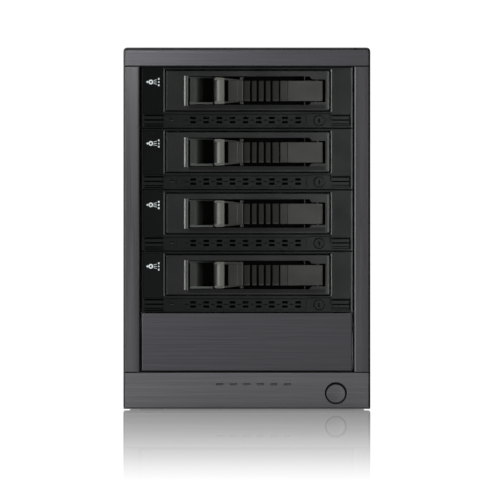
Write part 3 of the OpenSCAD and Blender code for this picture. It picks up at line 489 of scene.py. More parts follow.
MATERIAL = {
    "alloy_x": brushed("alloy_drawn_along_x", (0.091, 0.089, 0.098)),
    "alloy_low": brushed("alloy_bottom_bar", BAR_ALLOY),
    "alloy_button": brushed("alloy_button", BAR_ALLOY, shadow_ring_centre=BUTTON_SHADOW_CENTRE),
    "alloy_z": brushed("alloy_drawn_along_z", (0.096, 0.095, 0.101), along="Z"),
    "alloy_blank": brushed("alloy_bay_cover", (0.078, 0.077, 0.085)),
    "rim": plastic("bezel_moulding", (0.016, 0.016, 0.0175), rough=0.42, grain=0.2, grain_mm=0.3,
                   specular=0.4, low_edge=(1.6, 9.0), patches=RIM_PATCHES),
    "bay": plastic("bay_front_moulding", (0.0021, 0.0027, 0.0024), rough=0.36, grain=0.12,
                   grain_mm=0.26, specular=0.20, deep=(1.0, 1.7, 0.03, None), vents=True,
                   patches=BAY_PATCHES),
    "tray": plastic("tray_front_moulding", (0.0040, 0.0044, 0.0040), rough=0.36, grain=0.12,
                    grain_mm=0.24, specular=0.30, deep=(1.5, 6.0, 0.12, None),
                    patches=TRAY_PATCHES),
    "lever": plastic("lever_moulding", (0.0100, 0.0103, 0.0090), rough=0.39, grain=0.16,
                     grain_mm=0.24, specular=0.29, deep=(2.4, 3.3, 0.04, LEVER_GRIP_X),
                     grip=(LEVER_GRIP_X, 6.0), patches=LEVER_PATCHES),
    "latch": plastic("release_slider_moulding", (0.0085, 0.0087, 0.0078), rough=0.39, grain=0.16,
                     grain_mm=0.22, specular=0.28),
    "paint": powder("black_powder_coat", (0.017, 0.017, 0.0185)),
    "zinc": zinc("zinc_plated_sheet"),
    "tray_steel": powder("carrier_black", (0.018, 0.018, 0.019)),
    "psu": two_finish("supply_case", ((0.40, 0.41, 0.43), 1.0, 0.34), (BLACK, 0.0, 0.42),
                      SUPPLY_BLACK_BOXES),
    "rubber": rubber("foot_rubber", BLACK),
    "window": glossy("smoked_window", (0.0026, 0.0046, 0.0036), rough=0.16, coat=0.0,
                     specular=0.18),
    "pipe": glossy("light_pipe", (0.095, 0.095, 0.102), rough=0.35, coat=0.1),
    "lens": glossy("lamp_lens", (0.004, 0.006, 0.005), rough=0.1, coat=0.4, specular=0.3),
    "pcb": circuit_board("solder_mask_green", PCB_GREEN),
    "pcb_main": circuit_board("main_board", (0.008, 0.050, 0.026), MAIN_BOARD_PARTS),
    "pcb_ram": circuit_board("memory_board", (0.006, 0.045, 0.022), MEMORY_PARTS),
    "pcb_back": circuit_board("backplane_board", PCB_GREEN, BACKPLANE_PARTS),
    "screw": metal("nickel_screw", (0.44, 0.44, 0.45), rough=0.24),
    "lock": metal("black_zinc_lock", (0.013, 0.014, 0.0135), rough=0.46, lines=2600, bump=0.12),
    "wire": metal("plated_wire", (0.50, 0.51, 0.53), rough=0.2),
    "heatsink": metal("extruded_alloy", (0.60, 0.61, 0.63), rough=0.33, lines=(60, 60, 2600)),
    "drive": metal("cast_alloy", (0.48, 0.49, 0.50), rough=0.38, lines=900, bump=0.25),
    "black": plastic("black_moulding", BLACK, rough=0.45, grain=0.2, grain_mm=0.35),
    "cable": rubber("cable_jacket", (0.012, 0.012, 0.013)),
    # the print glows a little though it is no lamp: painted light
    "icon": glossy("icon_print", (0.70, 0.75, 0.75), rough=0.35, coat=0.1, specular=0.4,
                   glow=0.26),
    "label": printed_label("drive_label"),
    "gold": metal("contact_plating", GOLD, rough=0.24),
    "chip": plastic("chip_epoxy", (0.013, 0.013, 0.014), rough=0.5, grain=0.25, grain_mm=0.12),
    "ivory": plastic("connector_ivory", (0.55, 0.53, 0.47), rough=0.45, grain=0.12, grain_mm=0.3),
    "blue": plastic("connector_blue", (0.03, 0.09, 0.30), rough=0.4, grain=0.12, grain_mm=0.3),
    "lime": plastic("jack_green", (0.18, 0.42, 0.10), rough=0.4, grain=0.12, grain_mm=0.3),
    "pink": plastic("jack_pink", (0.55, 0.18, 0.22), rough=0.4, grain=0.12, grain_mm=0.3),
    "can": metal("capacitor_can", (0.58, 0.59, 0.62), rough=0.3, lines=(1400, 1400, 200)),
    "red": rubber("wire_red", (0.30, 0.012, 0.010)),
    "yellow": rubber("wire_yellow", (0.42, 0.30, 0.02)),
    "orange": rubber("wire_orange", (0.40, 0.12, 0.01)),
    "sata": rubber("data_cable_jacket", (0.26, 0.018, 0.014)),
}

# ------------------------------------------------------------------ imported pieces
SLOT_MATERIAL = {
    "black_paint": "paint", "zinc_steel": "zinc", "bezel_plastic": "bay",
    "brushed_alloy": "alloy_x", "board_green": "pcb", "light_pipe": "pipe", "rubber": "rubber",
    "bright_screw": "screw", "smoked_window": "window", "heatsink_alloy": "heatsink",
    "black_plastic": "black", "guard_wire": "wire", "cable": "cable",
    "tray_steel": "tray_steel", "drive_alloy": "drive", "lever_plastic": "lever",
    "lock_metal": "lock"}
NODE_MATERIAL = {
    "bezel_left_pillar": "alloy_z", "bezel_right_pillar": "alloy_z", "bay_cover": "alloy_blank",
    "bezel_core": "rim", "bezel_bottom_bar": "alloy_low", "power_button": "alloy_button",
    "front_frame": "paint", "motherboard": "pcb_main", "memory_modules": "pcb_ram",
    "backplane_boards": "pcb_back", "psu_case": "psu"}
PREFIX_MATERIAL = {"tray_front": "tray", "latch": "latch"}
EDGE_WIDTH = {
    "bezel_top_bar": 0.16, "bezel_bottom_bar": 0.16, "bezel_left_pillar": 0.16,
    "bezel_right_pillar": 0.16, "bay_cover": 0.22, "power_button": 0.12}
USUAL_EDGE_WIDTH = 0.18
SHARP_NODES = ("psu_case", "fan_frame", "fan_guard")


def bevel_edges(obj, width, angle):
    bevel = obj.modifiers.new("edges", "BEVEL")
    bevel.width = width * MM
    bevel.segments = 2
    bevel.limit_method = "ANGLE"
    bevel.angle_limit = math.radians(angle)
    bevel.use_clamp_overlap = True


def round_packed(obj, width):
    """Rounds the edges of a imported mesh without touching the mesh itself."""
    weld = obj.modifiers.new("weld", "WELD")
    weld.merge_threshold = 1e-6
    planar = obj.modifiers.new("planar", "DECIMATE")
    planar.decimate_type = "DISSOLVE"
    planar.angle_limit = math.radians(0.6)
    bevel_edges(obj, width, angle=28)
    normals = obj.modifiers.new("flat faces stay flat", "WEIGHTED_NORMAL")
    normals.keep_sharp = True


def dress_packed():
    slot_of = {part["node"]: part["material_slot"] for part in frame["record"]["subparts"]}
    for name, obj in NODE.items():
        key = NODE_MATERIAL.get(name) or SLOT_MATERIAL[slot_of[name]]
        for prefix, prefix_key in PREFIX_MATERIAL.items():
            if name.startswith(prefix):
                key = prefix_key
        obj.data.materials.clear()
        obj.data.materials.append(MATERIAL[key])
        if name not in SHARP_NODES:
            round_packed(obj, EDGE_WIDTH.get(name, USUAL_EDGE_WIDTH))


dress_packed()


# ------------------------------------------------------------------ mesh builders, all in mm
def vert(bm, x, y, z):
    return bm.verts.new((x * MM, y * MM, z * MM))


def box(bm, low, high, bevel=0.0, segments=1):
    """A block between two corners, with eased edges if bevel is given."""
    verts = [vert(bm, x, y, z) for x in (low[0], high[0]) for y in (low[1], high[1])
             for z in (low[2], high[2])]
    sides = ((0, 1, 3, 2), (4, 6, 7, 5), (0, 4, 5, 1), (2, 3, 7, 6), (0, 2, 6, 4), (1, 5, 7, 3))
    faces = [bm.faces.new([verts[i] for i in side]) for side in sides]
    if bevel:
        edges = list({edge for face in faces for edge in face.edges})
        bmesh.ops.bevel(bm, geom=edges, offset=bevel * MM, segments=segments, profile=0.5,
                        affect="EDGES")


def prism(bm, outline, y0, y1):
    """An outline in X-Z carried from y0 to y1."""
    front = [vert(bm, x, y0, z) for x, z in outline]
    back = [vert(bm, x, y1, z) for x, z in outline]
    bm.faces.new(front)
    bm.faces.new(back[::-1])
    for i in range(len(outline)):
        j = (i + 1) % len(outline)
        bm.faces.new((front[i], back[i], back[j], front[j]))


def lathe(bm, profile, origin, axis, steps):
    """A profile [(radius, along)] turned round an axis through the origin."""
    rings = []
    for radius, along in profile:
        ring = []
        for i in range(steps if radius > 1e-6 else 1):
            angle = i * math.tau / steps
            u, v = radius * math.cos(angle), radius * math.sin(angle)
            point = {"y": (u, along, v), "x": (along, u, v), "z": (u, v, along)}[axis]
            ring.append(vert(bm, *(point[k] + origin[k] for k in range(3))))
        rings.append(ring)
    for a, b in zip(rings, rings[1:]):
        for i in range(steps):
            j = (i + 1) % steps
            if len(a) == 1:
                bm.faces.new((a[0], b[j], b[i]))
            elif len(b) == 1:
                bm.faces.new((a[i], a[j], b[0]))
            else:
                bm.faces.new((a[i], a[j], b[j], b[i]))


def flat_ring(bm, center_x, center_z, inner, outer, y0, y1, steps=28):
    """A flat ring in X-Z."""
    section = ((inner, y0), (outer, y0), (outer, y1), (inner, y1))
    rows = []
    for i in range(steps):
        angle = math.tau * i / steps
        rows.append([vert(bm, center_x + r * math.cos(angle), y, center_z + r * math.sin(angle))
                     for r, y in section])
    for i in range(steps):
        a, b = rows[i], rows[(i + 1) % steps]
        for k in range(4):
            bm.faces.new((a[k], a[(k + 1) % 4], b[(k + 1) % 4], b[k]))


def tube(bm, points, radius, thickness=None, sides=8, steps=5):
    """A lead swept smoothly through the points.

    radius lies along X at the start; thickness is the other half-axis of a flat lead.
    """
    thickness = thickness or radius
    stops = [Vector(p) for p in points]
    last = len(stops) - 1
    path = []
    for i in range(last):
        a, b, c, d = stops[max(i - 1, 0)], stops[i], stops[i + 1], stops[min(i + 2, last)]
        for j in range(steps):
            t = j / steps
            path.append(0.5 * (2 * b + (c - a) * t + (2 * a - 5 * b + 4 * c - d) * t * t
                               + (3 * b - a - 3 * c + d) * t ** 3))
    path.append(stops[-1])
    side = Vector((1, 0, 0))
    rings = []
    for i, center in enumerate(path):
        ahead = (path[min(i + 1, len(path) - 1)] - path[max(i - 1, 0)]).normalized()
        side = (side - ahead * side.dot(ahead)).normalized()
        up = ahead.cross(side)
        ring = []
        for q in range(sides):
            angle = math.tau * q / sides
            ring.append(vert(bm, *(center + side * (radius * math.cos(angle))
                                   + up * (thickness * math.sin(angle)))))
        rings.append(ring)
    for a, b in zip(rings, rings[1:]):
        for q in range(sides):
            bm.faces.new((a[q], b[q], b[(q + 1) % sides], a[(q + 1) % sides]))
    bm.faces.new(rings[0][::-1])
    bm.faces.new(rings[-1])


def rim(bm, x0, x1, z0, z1, wall, y0, y1):
    """A rectangular rim in X-Z."""
    def loop(inset, y):
        xa, xb, za, zb = x0 + inset, x1 - inset, z0 + inset, z1 - inset
        return [vert(bm, x, y, z) for x, z in ((xa, za), (xb, za), (xb, zb), (xa, zb))]

    outer0, inner0, outer1, inner1 = loop(0, y0), loop(wall, y0), loop(0, y1), loop(wall, y1)
    for q in range(4):
        j = (q + 1) % 4
        bm.faces.new((outer0[q], outer0[j], inner0[j], inner0[q]))
        bm.faces.new((outer1[q], inner1[q], inner1[j], outer1[j]))
        bm.faces.new((outer0[q], outer1[q], outer1[j], outer0[j]))
        bm.faces.new((inner0[q], inner0[j], inner1[j], inner1[q]))


def piece(name, bm, material, smooth=30, body="chassis"):
    """Makes the object. Edges sharper than smooth (degrees) stay hard; 0 keeps it all flat."""
    bmesh.ops.remove_doubles(bm, verts=bm.verts, dist=1e-7)
    bmesh.ops.recalc_face_normals(bm, faces=bm.faces)
    mesh = bpy.data.meshes.new(name)
    bm.to_mesh(mesh)
    bm.free()
    if smooth:
        for polygon in mesh.polygons:
            polygon.use_smooth = True
        mesh.set_sharp_from_angle(angle=math.radians(smooth))
    obj = bpy.data.objects.new(name, mesh)
    scene.collection.objects.link(obj)
    mesh.materials.append(MATERIAL[material])
    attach(obj, body)
    return obj


# ------------------------------------------------------------------ bay symbols and lenses
SYMBOL_FRONT = -188.76
SYMBOL_BACK = -188.69
SYMBOL_DROP = 10.3             # symbol centre line below the bay's top edge
ARROW = ((3.5, 0), (4.7, 0.95), (4.7, 0.34), (5.35, 0.34), (5.35, -0.34), (4.7, -0.34),
         (4.7, -0.95))         # x from the bay's left edge, z from the centre line
STACK = ((-7.45, -9.0), (-9.75, -11.0), (-11.75, -13.3))    # top and bottom, from the bay's top


def status_symbols(bay):
    """Raised ink on the window: ring, arrow to the left, three fanned bars, three blocks."""
    bm = bmesh.new()
    top = bay_top(bay)
    middle = top - SYMBOL_DROP
    flat_ring(bm, BAY_LEFT + 6.75, middle, 0.72, 1.62, SYMBOL_FRONT, SYMBOL_BACK)
    prism(bm, [(BAY_LEFT + x, middle + z) for x, z in ARROW], SYMBOL_FRONT - 0.004, SYMBOL_BACK)
    near, far, half = BAY_LEFT + 8.6, BAY_LEFT + 10.9, 0.17
    for offset in (1.55, 0.0, -1.55):
        z_near, z_far = middle + offset * 0.62, middle + offset
        prism(bm, [(near, z_near + half), (far, z_far + half), (far, z_far - half),
                   (near, z_near - half)], SYMBOL_FRONT, SYMBOL_BACK)
    for upper, lower in STACK:
        box(bm, (BAY_LEFT + 11.7, SYMBOL_FRONT, top + lower + 0.12),
            (BAY_LEFT + 12.75, SYMBOL_BACK, top + upper - 0.12), 0.025)
    piece(f"status_symbols_{bay}", bm, "icon", smooth=0)


def activity_lens(bay):
    """A lamp lens set back in its hole."""
    bm = bmesh.new()
    top = bay_top(bay)
    box(bm, (BAY_LEFT + 20.05, -188.2, top - 37.35), (BAY_LEFT + 22.65, -187.1, top - 35.55),
        0.3, 2)
    piece(f"activity_lens_{bay}", bm, "lens", 40)


for bay in BAYS:
    status_symbols(bay)
    activity_lens(bay)


# ------------------------------------------------------------------ fan rotors
def impeller(name, node, body, center, hub, tip, half, chord):
    """A moulded rotor: a domed hub and cambered, swept blades with tapered edges.

    hub and tip are radii, half is half the depth along Y, chord the middle blade width.
    """
    blades, spans, chords = 7, 7, 10
    cx, cy, cz = center
    bm = bmesh.new()
    lathe(bm, [(0, -half), (hub * 0.80, -half), (hub * 0.94, -half + 0.04 * hub),
               (hub, -half + 0.12 * hub), (hub, half - 0.12 * hub),
               (hub * 0.94, half - 0.04 * hub), (hub * 0.80, half), (hub * 0.62, half),
               (hub * 0.60, half - 0.3), (hub * 0.2, half - 0.3), (hub * 0.18, half),
               (0, half)], center, "y", 48)
    for blade in range(blades):
        grid = {}
        for i in range(spans + 1):
            u = i / spans
            r = hub - 0.5 + (tip - hub + 0.5) * u
            pitch = math.radians(50 - 20 * u)
            width = min(chord * (0.80 + 0.38 * u), (2 * half - 1.0) / math.sin(pitch))
            for j in range(chords + 1):
                v = j / chords
                s = (v - 0.5) * width
                camber = 0.09 * width * (1 - (2 * v - 1) ** 2)
                thick = ((0.035 * chord + 0.35) * (1 - 0.75 * abs(2 * v - 1) ** 2.5)
                         * (1.1 - 0.35 * u))
                for side in (-1, 1):
                    w = camber + side * thick / 2
                    around = s * math.cos(pitch) - w * math.sin(pitch)
                    along = s * math.sin(pitch) + w * math.cos(pitch)
                    along = max(-half + 0.05, min(half - 0.05, along))
                    angle = math.tau * blade / blades + math.radians(16) * u * u + around / r
                    grid[i, j, side] = vert(bm, cx + r * math.cos(angle), cy + along,
                                            cz + r * math.sin(angle))

        def face(*keys):
            bm.faces.new([grid[key] for key in keys])

        for i in range(spans):
            for j in range(chords):
                face((i, j, 1), (i + 1, j, 1), (i + 1, j + 1, 1), (i, j + 1, 1))
                face((i, j, -1), (i, j + 1, -1), (i + 1, j + 1, -1), (i + 1, j, -1))
            for j in (0, chords):
                face((i, j, 1), (i, j, -1), (i + 1, j, -1), (i + 1, j, 1))
        for j in range(chords):
            for i in (0, spans):
                face((i, j, 1), (i, j + 1, 1), (i, j + 1, -1), (i, j, -1))
    obj = piece(name, bm, "black", 35, body)
    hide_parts(node)


impeller("fan_impeller", "fan_rotor", "rear_fan", (-28, 171.6, 160),
         hub=17.5, tip=36.8, half=9.2, chord=24)
impeller("psu_impeller", "psu_rotor", "psu_fan", (-55.8, 178.5, 29.2),
         hub=9, tip=17.6, half=3.5, chord=9)

# ------------------------------------------------------------------ power and data leads
POWER_LEADS = ((-29.5, "yellow"), (-25.5, "black"), (-21.5, "black"), (-17.5, "red"))
SUPPLY_COLORS = ("yellow", "black", "red", "black", "black", "red", "black", "yellow")
# data plug rectangles: x0, y0, x1, y1 of the body, the neck and the metal clip
DRIVE_PLUG = ((-1.6, -4.95, 9.6, 3.6), (0.6, 3.4, 7.4, 6.2), (2.0, -4.0, 6.0, 1.6))
BOARD_PLUG = ((53.2, 16.0, 62.0, 24.6), (50.6, 17.4, 53.4, 23.2), (54.5, 18.5, 60.0, 22.1))


def data_plug(loom, plug, z):
    # group, rectangle, bottom and top from z, edge, edge segments
    for group, (x0, y0, x1, y1), low, high, bevel, segments in (
            ("plug", plug[0], -2.9, 2.9, 0.7, 2),
            ("plug", plug[1], -1.9, 1.9, 0.8, 2),
            ("clip", plug[2], 2.85, 3.25, 0.12, 1)):
        box(loom[group], (x0, y0, z + low), (x1, y1, z + high), bevel, segments)


def data_lead(loom, bay):
    """A flat lead from the backplane to the main board."""
    z_drive = bay_top(bay) - 34
    z_board = 143.5 + (4 - bay) * 10
    data_plug(loom, DRIVE_PLUG, z_drive)
    data_plug(loom, BOARD_PLUG, z_board)
    rise = z_board - z_drive
    tube(loom["data"], [(4, 5.2, z_drive), (4, 10, z_drive),
                        (8 + 3 * bay, 15 + 1.2 * bay, z_drive + rise * 0.18),
                        (16 + 4 * bay, 17 + 1.6 * bay, (z_drive + z_board) / 2),
                        (25 + 3 * bay, 18 + 1.2 * bay, z_board - rise * 0.14),
                        (42, 20.3, z_board), (51.2, 20.3, z_board)],
         3.1, thickness=0.85, sides=12, steps=7)


def power_leads(loom, bay):
    """A power plug with leads to the bay below; from the last bay they run to the supply."""
    top = bay_top(bay)
    box(loom["plug"], (-33.5, -2.95, top - 38), (-13.5, 3.4, top - 31), 0.8, 2)
    z0 = top - 36.2
    for q, (x, color) in enumerate(POWER_LEADS):
        if bay < 4:
            z1 = bay_top(bay + 1) - 32.8
            tube(loom[color], [(x, 3.2, z0), (x, 6.6, z0 - 1.6),
                               (x + 0.6, 8.8 + 0.4 * q, (z0 + z1) / 2),
                               (x, 6.6, z1 + 1.6), (x, 3.2, z1)], 0.95)
        else:
            tube(loom[color], [(x, 3.2, z0), (x, 7.0, z0 - 2.2), (x + 1, 10.5, z0 - 12),
                               (-24 + 2.6 * q, 17, 36), (-23 + 2.4 * q, 27, 31),
                               (-22 + 2.2 * q, 35.5, 30.5)], 0.95, steps=6)


def supply_leads(loom):
    """The main board's power connector and its two rows of eight leads."""
    box(loom["plug"], (51.0, 15.6, 80.5), (60.4, 26.0, 126.5), 0.9, 2)
    box(loom["clip"], (53.0, 25.8, 98), (58.5, 26.9, 108), 0.25, 2)
    for i in range(8):
        for j, y in enumerate((18.4, 23.2)):
            z = 83.5 + i * 5.7
            u, v = i * 1.9, j * 1.8
            tube(loom[SUPPLY_COLORS[(i + 3 * j) % 8]],
                 [(51.4, y, z), (46.5, y, z - 1.0), (38 - 0.9 * i, y + 1.5, z - 9),
                  (24 - 0.6 * u, 21 + v, 58 + 0.9 * u), (6 - 0.3 * u, 22 + v, 37 + 0.55 * u),
                  (-8 + 0.15 * u, 27 + v * 0.6, 29 + 0.45 * u),
                  (-11 + 0.15 * u, 35.5, 24.5 + 0.8 * u - 0.5 * v)], 0.85, sides=7)


def fan_lead(loom):
    tube(loom["black"], [(8, 159.4, 124), (11, 150, 124), (22, 141, 150), (40, 135, 205),
                         (54, 129.5, 224), (60.8, 128.8, 225.5)], 1.2, sides=10, steps=7)
    box(loom["plug"], (60.4, 126.2, 222.6), (67.0, 131.4, 228.4), 0.5, 2)


def cable_loom():
    loom = {key: bmesh.new() for key in ("plug", "black", "red", "yellow", "data", "clip")}
    for bay in BAYS:
        data_lead(loom, bay)
        power_leads(loom, bay)
    supply_leads(loom)
    fan_lead(loom)
    plugs = piece("power_plugs", loom["plug"], "black")
    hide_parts("cable_loom")
    for name, key, material in (("leads_black", "black", "cable"), ("leads_red", "red", "red"),
                                ("leads_yellow", "yellow", "yellow"),
                                ("data_leads", "data", "sata")):
        piece(name, loom[key], material, 50)
    piece("plug_clips", loom["clip"], "wire")


cable_loom()

# ------------------------------------------------------------------ rear ports
AUDIO_X = 65.05
AUDIO_JACKS = ((110, "lime"), (123.5, "pink"), (137, "blue"))        # z, material


def double_port(ports, x0):
    """An open housing with two tongues, a divider and contacts."""
    rim(ports["shell"], x0 - 0.9, x0 + 11.9, 190.6, 205.4, 0.9, PORT_Y - 0.2, PORT_Y + 0.75)
    box(ports["shell"], (x0 + 5.2, 176.2, 191.45), (x0 + 5.8, PORT_Y + 0.5, 204.55))
    box(ports["well"], (x0 + 0.02, 175.9, 191.5), (x0 + 10.98, 176.3, 204.5))
    for offset in (2.6, 8.4):
        x = x0 + offset
        box(ports["tongue"], (x - 0.9, 176.0, 192.9), (x + 0.9, 183.4, 203.1), 0.2)
        for i in range(4):
            box(ports["contact"], (x + 0.85, 177.0, 194.2 + i * 2.4),
                (x + 1.0, 183.0, 195.2 + i * 2.4))


def shallow_port(ports, x0, x1, z0, z1, wall, depth, well, tongue):
    """A rim, a dark plate and a tongue.

    depth is how far the rim stands out; well is (x inset, z0, z1);
    tongue is (x0, x1, z0, z1).
    """
    rim(ports["shell"], x0, x1, z0, z1, wall, PORT_Y - 0.2, PORT_Y + depth)
    inset, well_z0, well_z1 = well
    box(ports["well"], (x0 + inset, PORT_Y - 0.1, well_z0), (x1 - inset, PORT_Y + 0.08, well_z1))
    xa, xb, za, zb = tongue
    box(ports["tongue"], (xa, PORT_Y - 0.1, za), (xb, PORT_Y + 0.4, zb), 0.12)


def network_stack(ports, z0):
    """A network jack with two lamps, beside two narrow ports."""
    rim(ports["shell"], 45.2, 58.9, z0 - 0.85, z0 + 13.35, 0.85, PORT_Y - 0.2, PORT_Y + 0.6)
    for i in range(8):
        box(ports["contact"], (47.2 + i * 1.25, 172.6, z0 + 8.2),
            (47.75 + i * 1.25, 182.6, z0 + 8.6))
    box(ports["well"], (46.1, 171.6, z0 + 0.05), (58.0, 172.6, z0 + 12.45))
    for x in (46.2, 55.2):
        box(ports["lamp"], (x, 182.6, z0 + 10.6), (x + 2.7, PORT_Y + 0.3, z0 + 12.4), 0.2)
    for x in (59.7, 65.5):
        shallow_port(ports, x, x + 5.2, z0 - 0.3, z0 + 12.8, wall=0.42, depth=0.6,
                     well=(0.4, z0 + 0.1, z0 + 12.4),
                     tongue=(x + 1.5, x + 3.3, z0 + 1.4, z0 + 11.1))


def rear_ports():
    ports = {key: bmesh.new() for key in ("shell", "well", "tongue", "contact", "lamp")}
    for x0 in (58.05, 44.05):
        double_port(ports, x0)
    for z0 in (170.0, 148.0):
        network_stack(ports, z0)
    for x, width in ((61.2, 6.4), (49.4, 6.0)):                      # two display ports
        middle = x + width / 2
        shallow_port(ports, x, x + width, 212.4, 225.6, wall=0.5, depth=0.7,
                     well=(0.45, 212.9, 225.1), tongue=(middle - 0.7, middle + 0.7, 214.4, 223.6))
    shells = piece("port_shells", ports["shell"], "wire")
    bevel_edges(shells, 0.10, angle=35)
    piece("port_wells", ports["well"], "chip")
    piece("port_tongues", ports["tongue"], "blue")
    piece("port_contacts", ports["contact"], "gold")
    piece("jack_lamps", ports["lamp"], "lens")


def audio_jacks():
    ring = [(2.35, -0.2), (4.9, -0.2), (4.9, 0.75), (4.45, 1.15), (3.2, 1.15), (2.9, 0.9),
            (2.35, 0.9), (2.35, -0.2)]
    bushing = [(1.82, -6), (2.36, -6), (2.36, 1.0), (2.2, 1.2), (1.82, 1.2), (1.82, -6)]
    for z, material in AUDIO_JACKS:
        bm = bmesh.new()
        lathe(bm, ring, (AUDIO_X, PORT_Y, z), "y", 40)
        piece(f"audio_ring_{material}", bm, material, 40)
    bm = bmesh.new()
    for z, _ in AUDIO_JACKS:
        lathe(bm, bushing, (AUDIO_X, PORT_Y, z), "y", 32)
    piece("audio_bushings", bm, "wire", 40)


rear_ports()
audio_jacks()

# ------------------------------------------------------------------ parts on the boards
# y, z, side, height, leads on each side
QUAD_CHIPS = ((25, 198, 13, 1.5, 14), (150, 188.5, 8, 1.3, 9), (149, 122, 7, 1.3, 9),
              (104, 92, 9, 1.3, 9), (125, 104, 10, 1.3, 9))
# y, z of the round capacitors
CAN_PLACES = ((58, 100), (58, 110), (136, 90), (144, 90), (136, 108), (18, 69.5), (30, 74),
              (142, 206), (142, 215), (56, 214), (64, 214))
CAN_PROFILE = [(0, -7.6), (2.6, -7.6), (3.0, -7.2), (3.0, -1.2), (2.8, -0.9), (3.1, -0.6),
               (3.1, 0.0), (0, 0.0)]
COIN_CELL = (BOARD_X, 104, 208)
# areas of the main board kept clear of small parts: y0, y1, z0, z1
BUSY_AREAS = (
    (9, 28, 76, 131), (13, 28, 138, 179), (32, 50, 82, 220), (57, 123, 125, 191),
    (59, 95, 82, 118), (76, 168, 66, 78), (122, 139, 123, 190), (137, 147, 147, 203),
    (158, 184, 66, 236), (61, 110, 192, 202), (92, 116, 196, 220), (95, 134, 220, 231),
    (12, 21, 220, 236), (17, 33, 190, 206), (144, 156, 182, 195), (144, 154, 117, 127),
    (98, 110, 86, 98), (118, 132, 97, 111), (54, 62, 96, 114), (132, 148, 86, 112),
    (138, 146, 202, 219), (52, 68, 210, 218))
SMALL_PARTS = 230
SMALL_PART_GAP = 1.6
RANDOM_SEED = 7


def on_board(bm, height, y0, z0, y1, z1, bevel=0.0, segments=1):
    """A block standing on the main board."""
    box(bm, (BOARD_X - height, y0, z0), (BOARD_X, y1, z1), bevel, segments)


def quad_chip(parts, y, z, side, height, leads):
    """A square chip with a corner mark and leads on all four sides."""
    half = side / 2
    on_board(parts["chip"], height, y - half, z - half, y + half, z + half, 0.18)
    box(parts["pin"], (BOARD_X - height - 0.02, y - side * 0.36, z - side * 0.40),
        (BOARD_X - height + 0.1, y - side * 0.26, z - side * 0.30))
    for i in range(leads):
        t = (i - (leads - 1) / 2) * side * 0.86 / (leads - 1)
        for start in (-half - 0.8, half - 0.05):
            on_board(parts["pin"], 0.35, y + start, z + t - 0.16, y + start + 0.85, z + t + 0.16)
        for start in (-half - 0.8, half - 0.05):
            on_board(parts["pin"], 0.35, y + t - 0.16, z + start, y + t + 0.16, z + start + 0.85)


def large_parts(parts):
    for row in QUAD_CHIPS:
        quad_chip(parts, *row)
    for i in range(6):                              # tall and low blocks beside the processor
        z = 128.5 + i * 11.2
        on_board(parts["chip"], 6.9, 123.4, z - 3.6, 130.6, z + 3.6, 0.9, 2)
        on_board(parts["chip"], 1.2, 132.2, z - 2.6, 137.4, z + 2.6, 0.2)
    for i in range(5):
        on_board(parts["chip"], 6.5, 62 + i * 9.2, 194.2, 68.8 + i * 9.2, 200.8, 0.9, 2)
    for y, z in CAN_PLACES:
        lathe(parts["can"], CAN_PROFILE, (BOARD_X, y, z), "x", 24)
    lathe(parts["can"], [(0, -4.3), (9.0, -4.3), (9.8, -3.8), (9.8, -1.4), (0, -1.4)],
          COIN_CELL, "x", 48)
    lathe(parts["chip"], [(0, -1.6), (11, -1.6), (11, 0), (0, 0)], COIN_CELL, "x", 48)
    on_board(parts["fin"], 2.7, 64, 85, 92, 113, 0.3)
    for i in range(8):
        box(parts["fin"], (58.5, 65 + i * 3.7, 85.6), (68.6, 66.2 + i * 3.7, 112.4), 0.2)
    for i in range(5):                              # front panel pins
        for j in (0, 1):
            y, z = 15 + j * 2.54, 224 + i * 2.2
            on_board(parts["pin"], 5.9, y, z, y + 0.6, z + 0.6)
    on_board(parts["chip"], 2.5, 14.0, 222.8, 19.2, 234, 0.2)


def random_draws(value):
    """A linear congruential sequence."""
    while True:
        value = (value * 1103515245 + 12345) % 2147483648
        yield value


def small_parts(parts):
    """Tiny chips and capacitors scattered over the free board."""
    draws = random_draws(RANDOM_SEED)
    busy = list(BUSY_AREAS)
    gap = SMALL_PART_GAP
    count = 0
    while count < SMALL_PARTS:
        y = 14 + (next(draws) >> 8) % 1400 / 10
        z = 69 + (next(draws) >> 8) % 1640 / 10
        draw = next(draws)
        if any(y0 - gap < y < y1 + gap and z0 - gap < z < z1 + gap for y0, y1, z0, z1 in busy):
            continue
        busy.append((y - 1.2, y + 1.2, z - 1.2, z + 1.2))
        width, length = (1.7, 0.85) if (draw >> 9) % 2 else (0.85, 1.7)
        group = "chip" if (draw >> 12) % 3 == 0 else "capacitor"
        on_board(parts[group], 0.75, y - width / 2, z - length / 2, y + width / 2, z + length / 2)
        count += 1


def backplane_parts(parts, bay):
    """Parts on the rear of one backplane board; z is taken from the bay's top."""
    top = bay_top(bay)

    def block(group, x, z, width, length, height, bevel=0.0, segments=1):
        box(parts[group], (x, BACKPLANE_Y, top + z),
            (x + width, BACKPLANE_Y + height, top + z + length), bevel, segments)

    block("chip", -22, -17, 9, 9, 1.4, 0.18)
    block("chip", 8, -13, 6, 6, 3.4, 0.7, 2)
    block("chip", 8, -22, 6, 6, 3.4, 0.7, 2)
    block("chip", -7, -24, 5, 4, 1.0, 0.15)
    for i in range(9):
        block("pin", -22.9, -16.4 + i * 0.93, 10.8, 0.3, 0.3)
    for i in range(8):
        block("capacitor" if i % 3 else "chip", -9 + (i % 4) * 3.6, -8 - (i // 4) * 4.4,
              1.7, 0.9, 0.7)
    for x in (-27, 22):
        for i in range(4):
            block("capacitor", x, -9 - i * 4.6, 0.9, 1.7, 0.7)


def board_parts():
    parts = {key: bmesh.new() for key in ("chip", "can", "capacitor", "fin", "pin")}
    large_parts(parts)
    small_parts(parts)
    for bay in BAYS:
        backplane_parts(parts, bay)
    piece("board_chips", parts["chip"], "chip")
    piece("board_cans", parts["can"], "can", 40)
    piece("board_capacitors", parts["capacitor"], "ivory")
    piece("chipset_cooler", parts["fin"], "heatsink")
    piece("board_pins", parts["pin"], "gold")


board_parts()


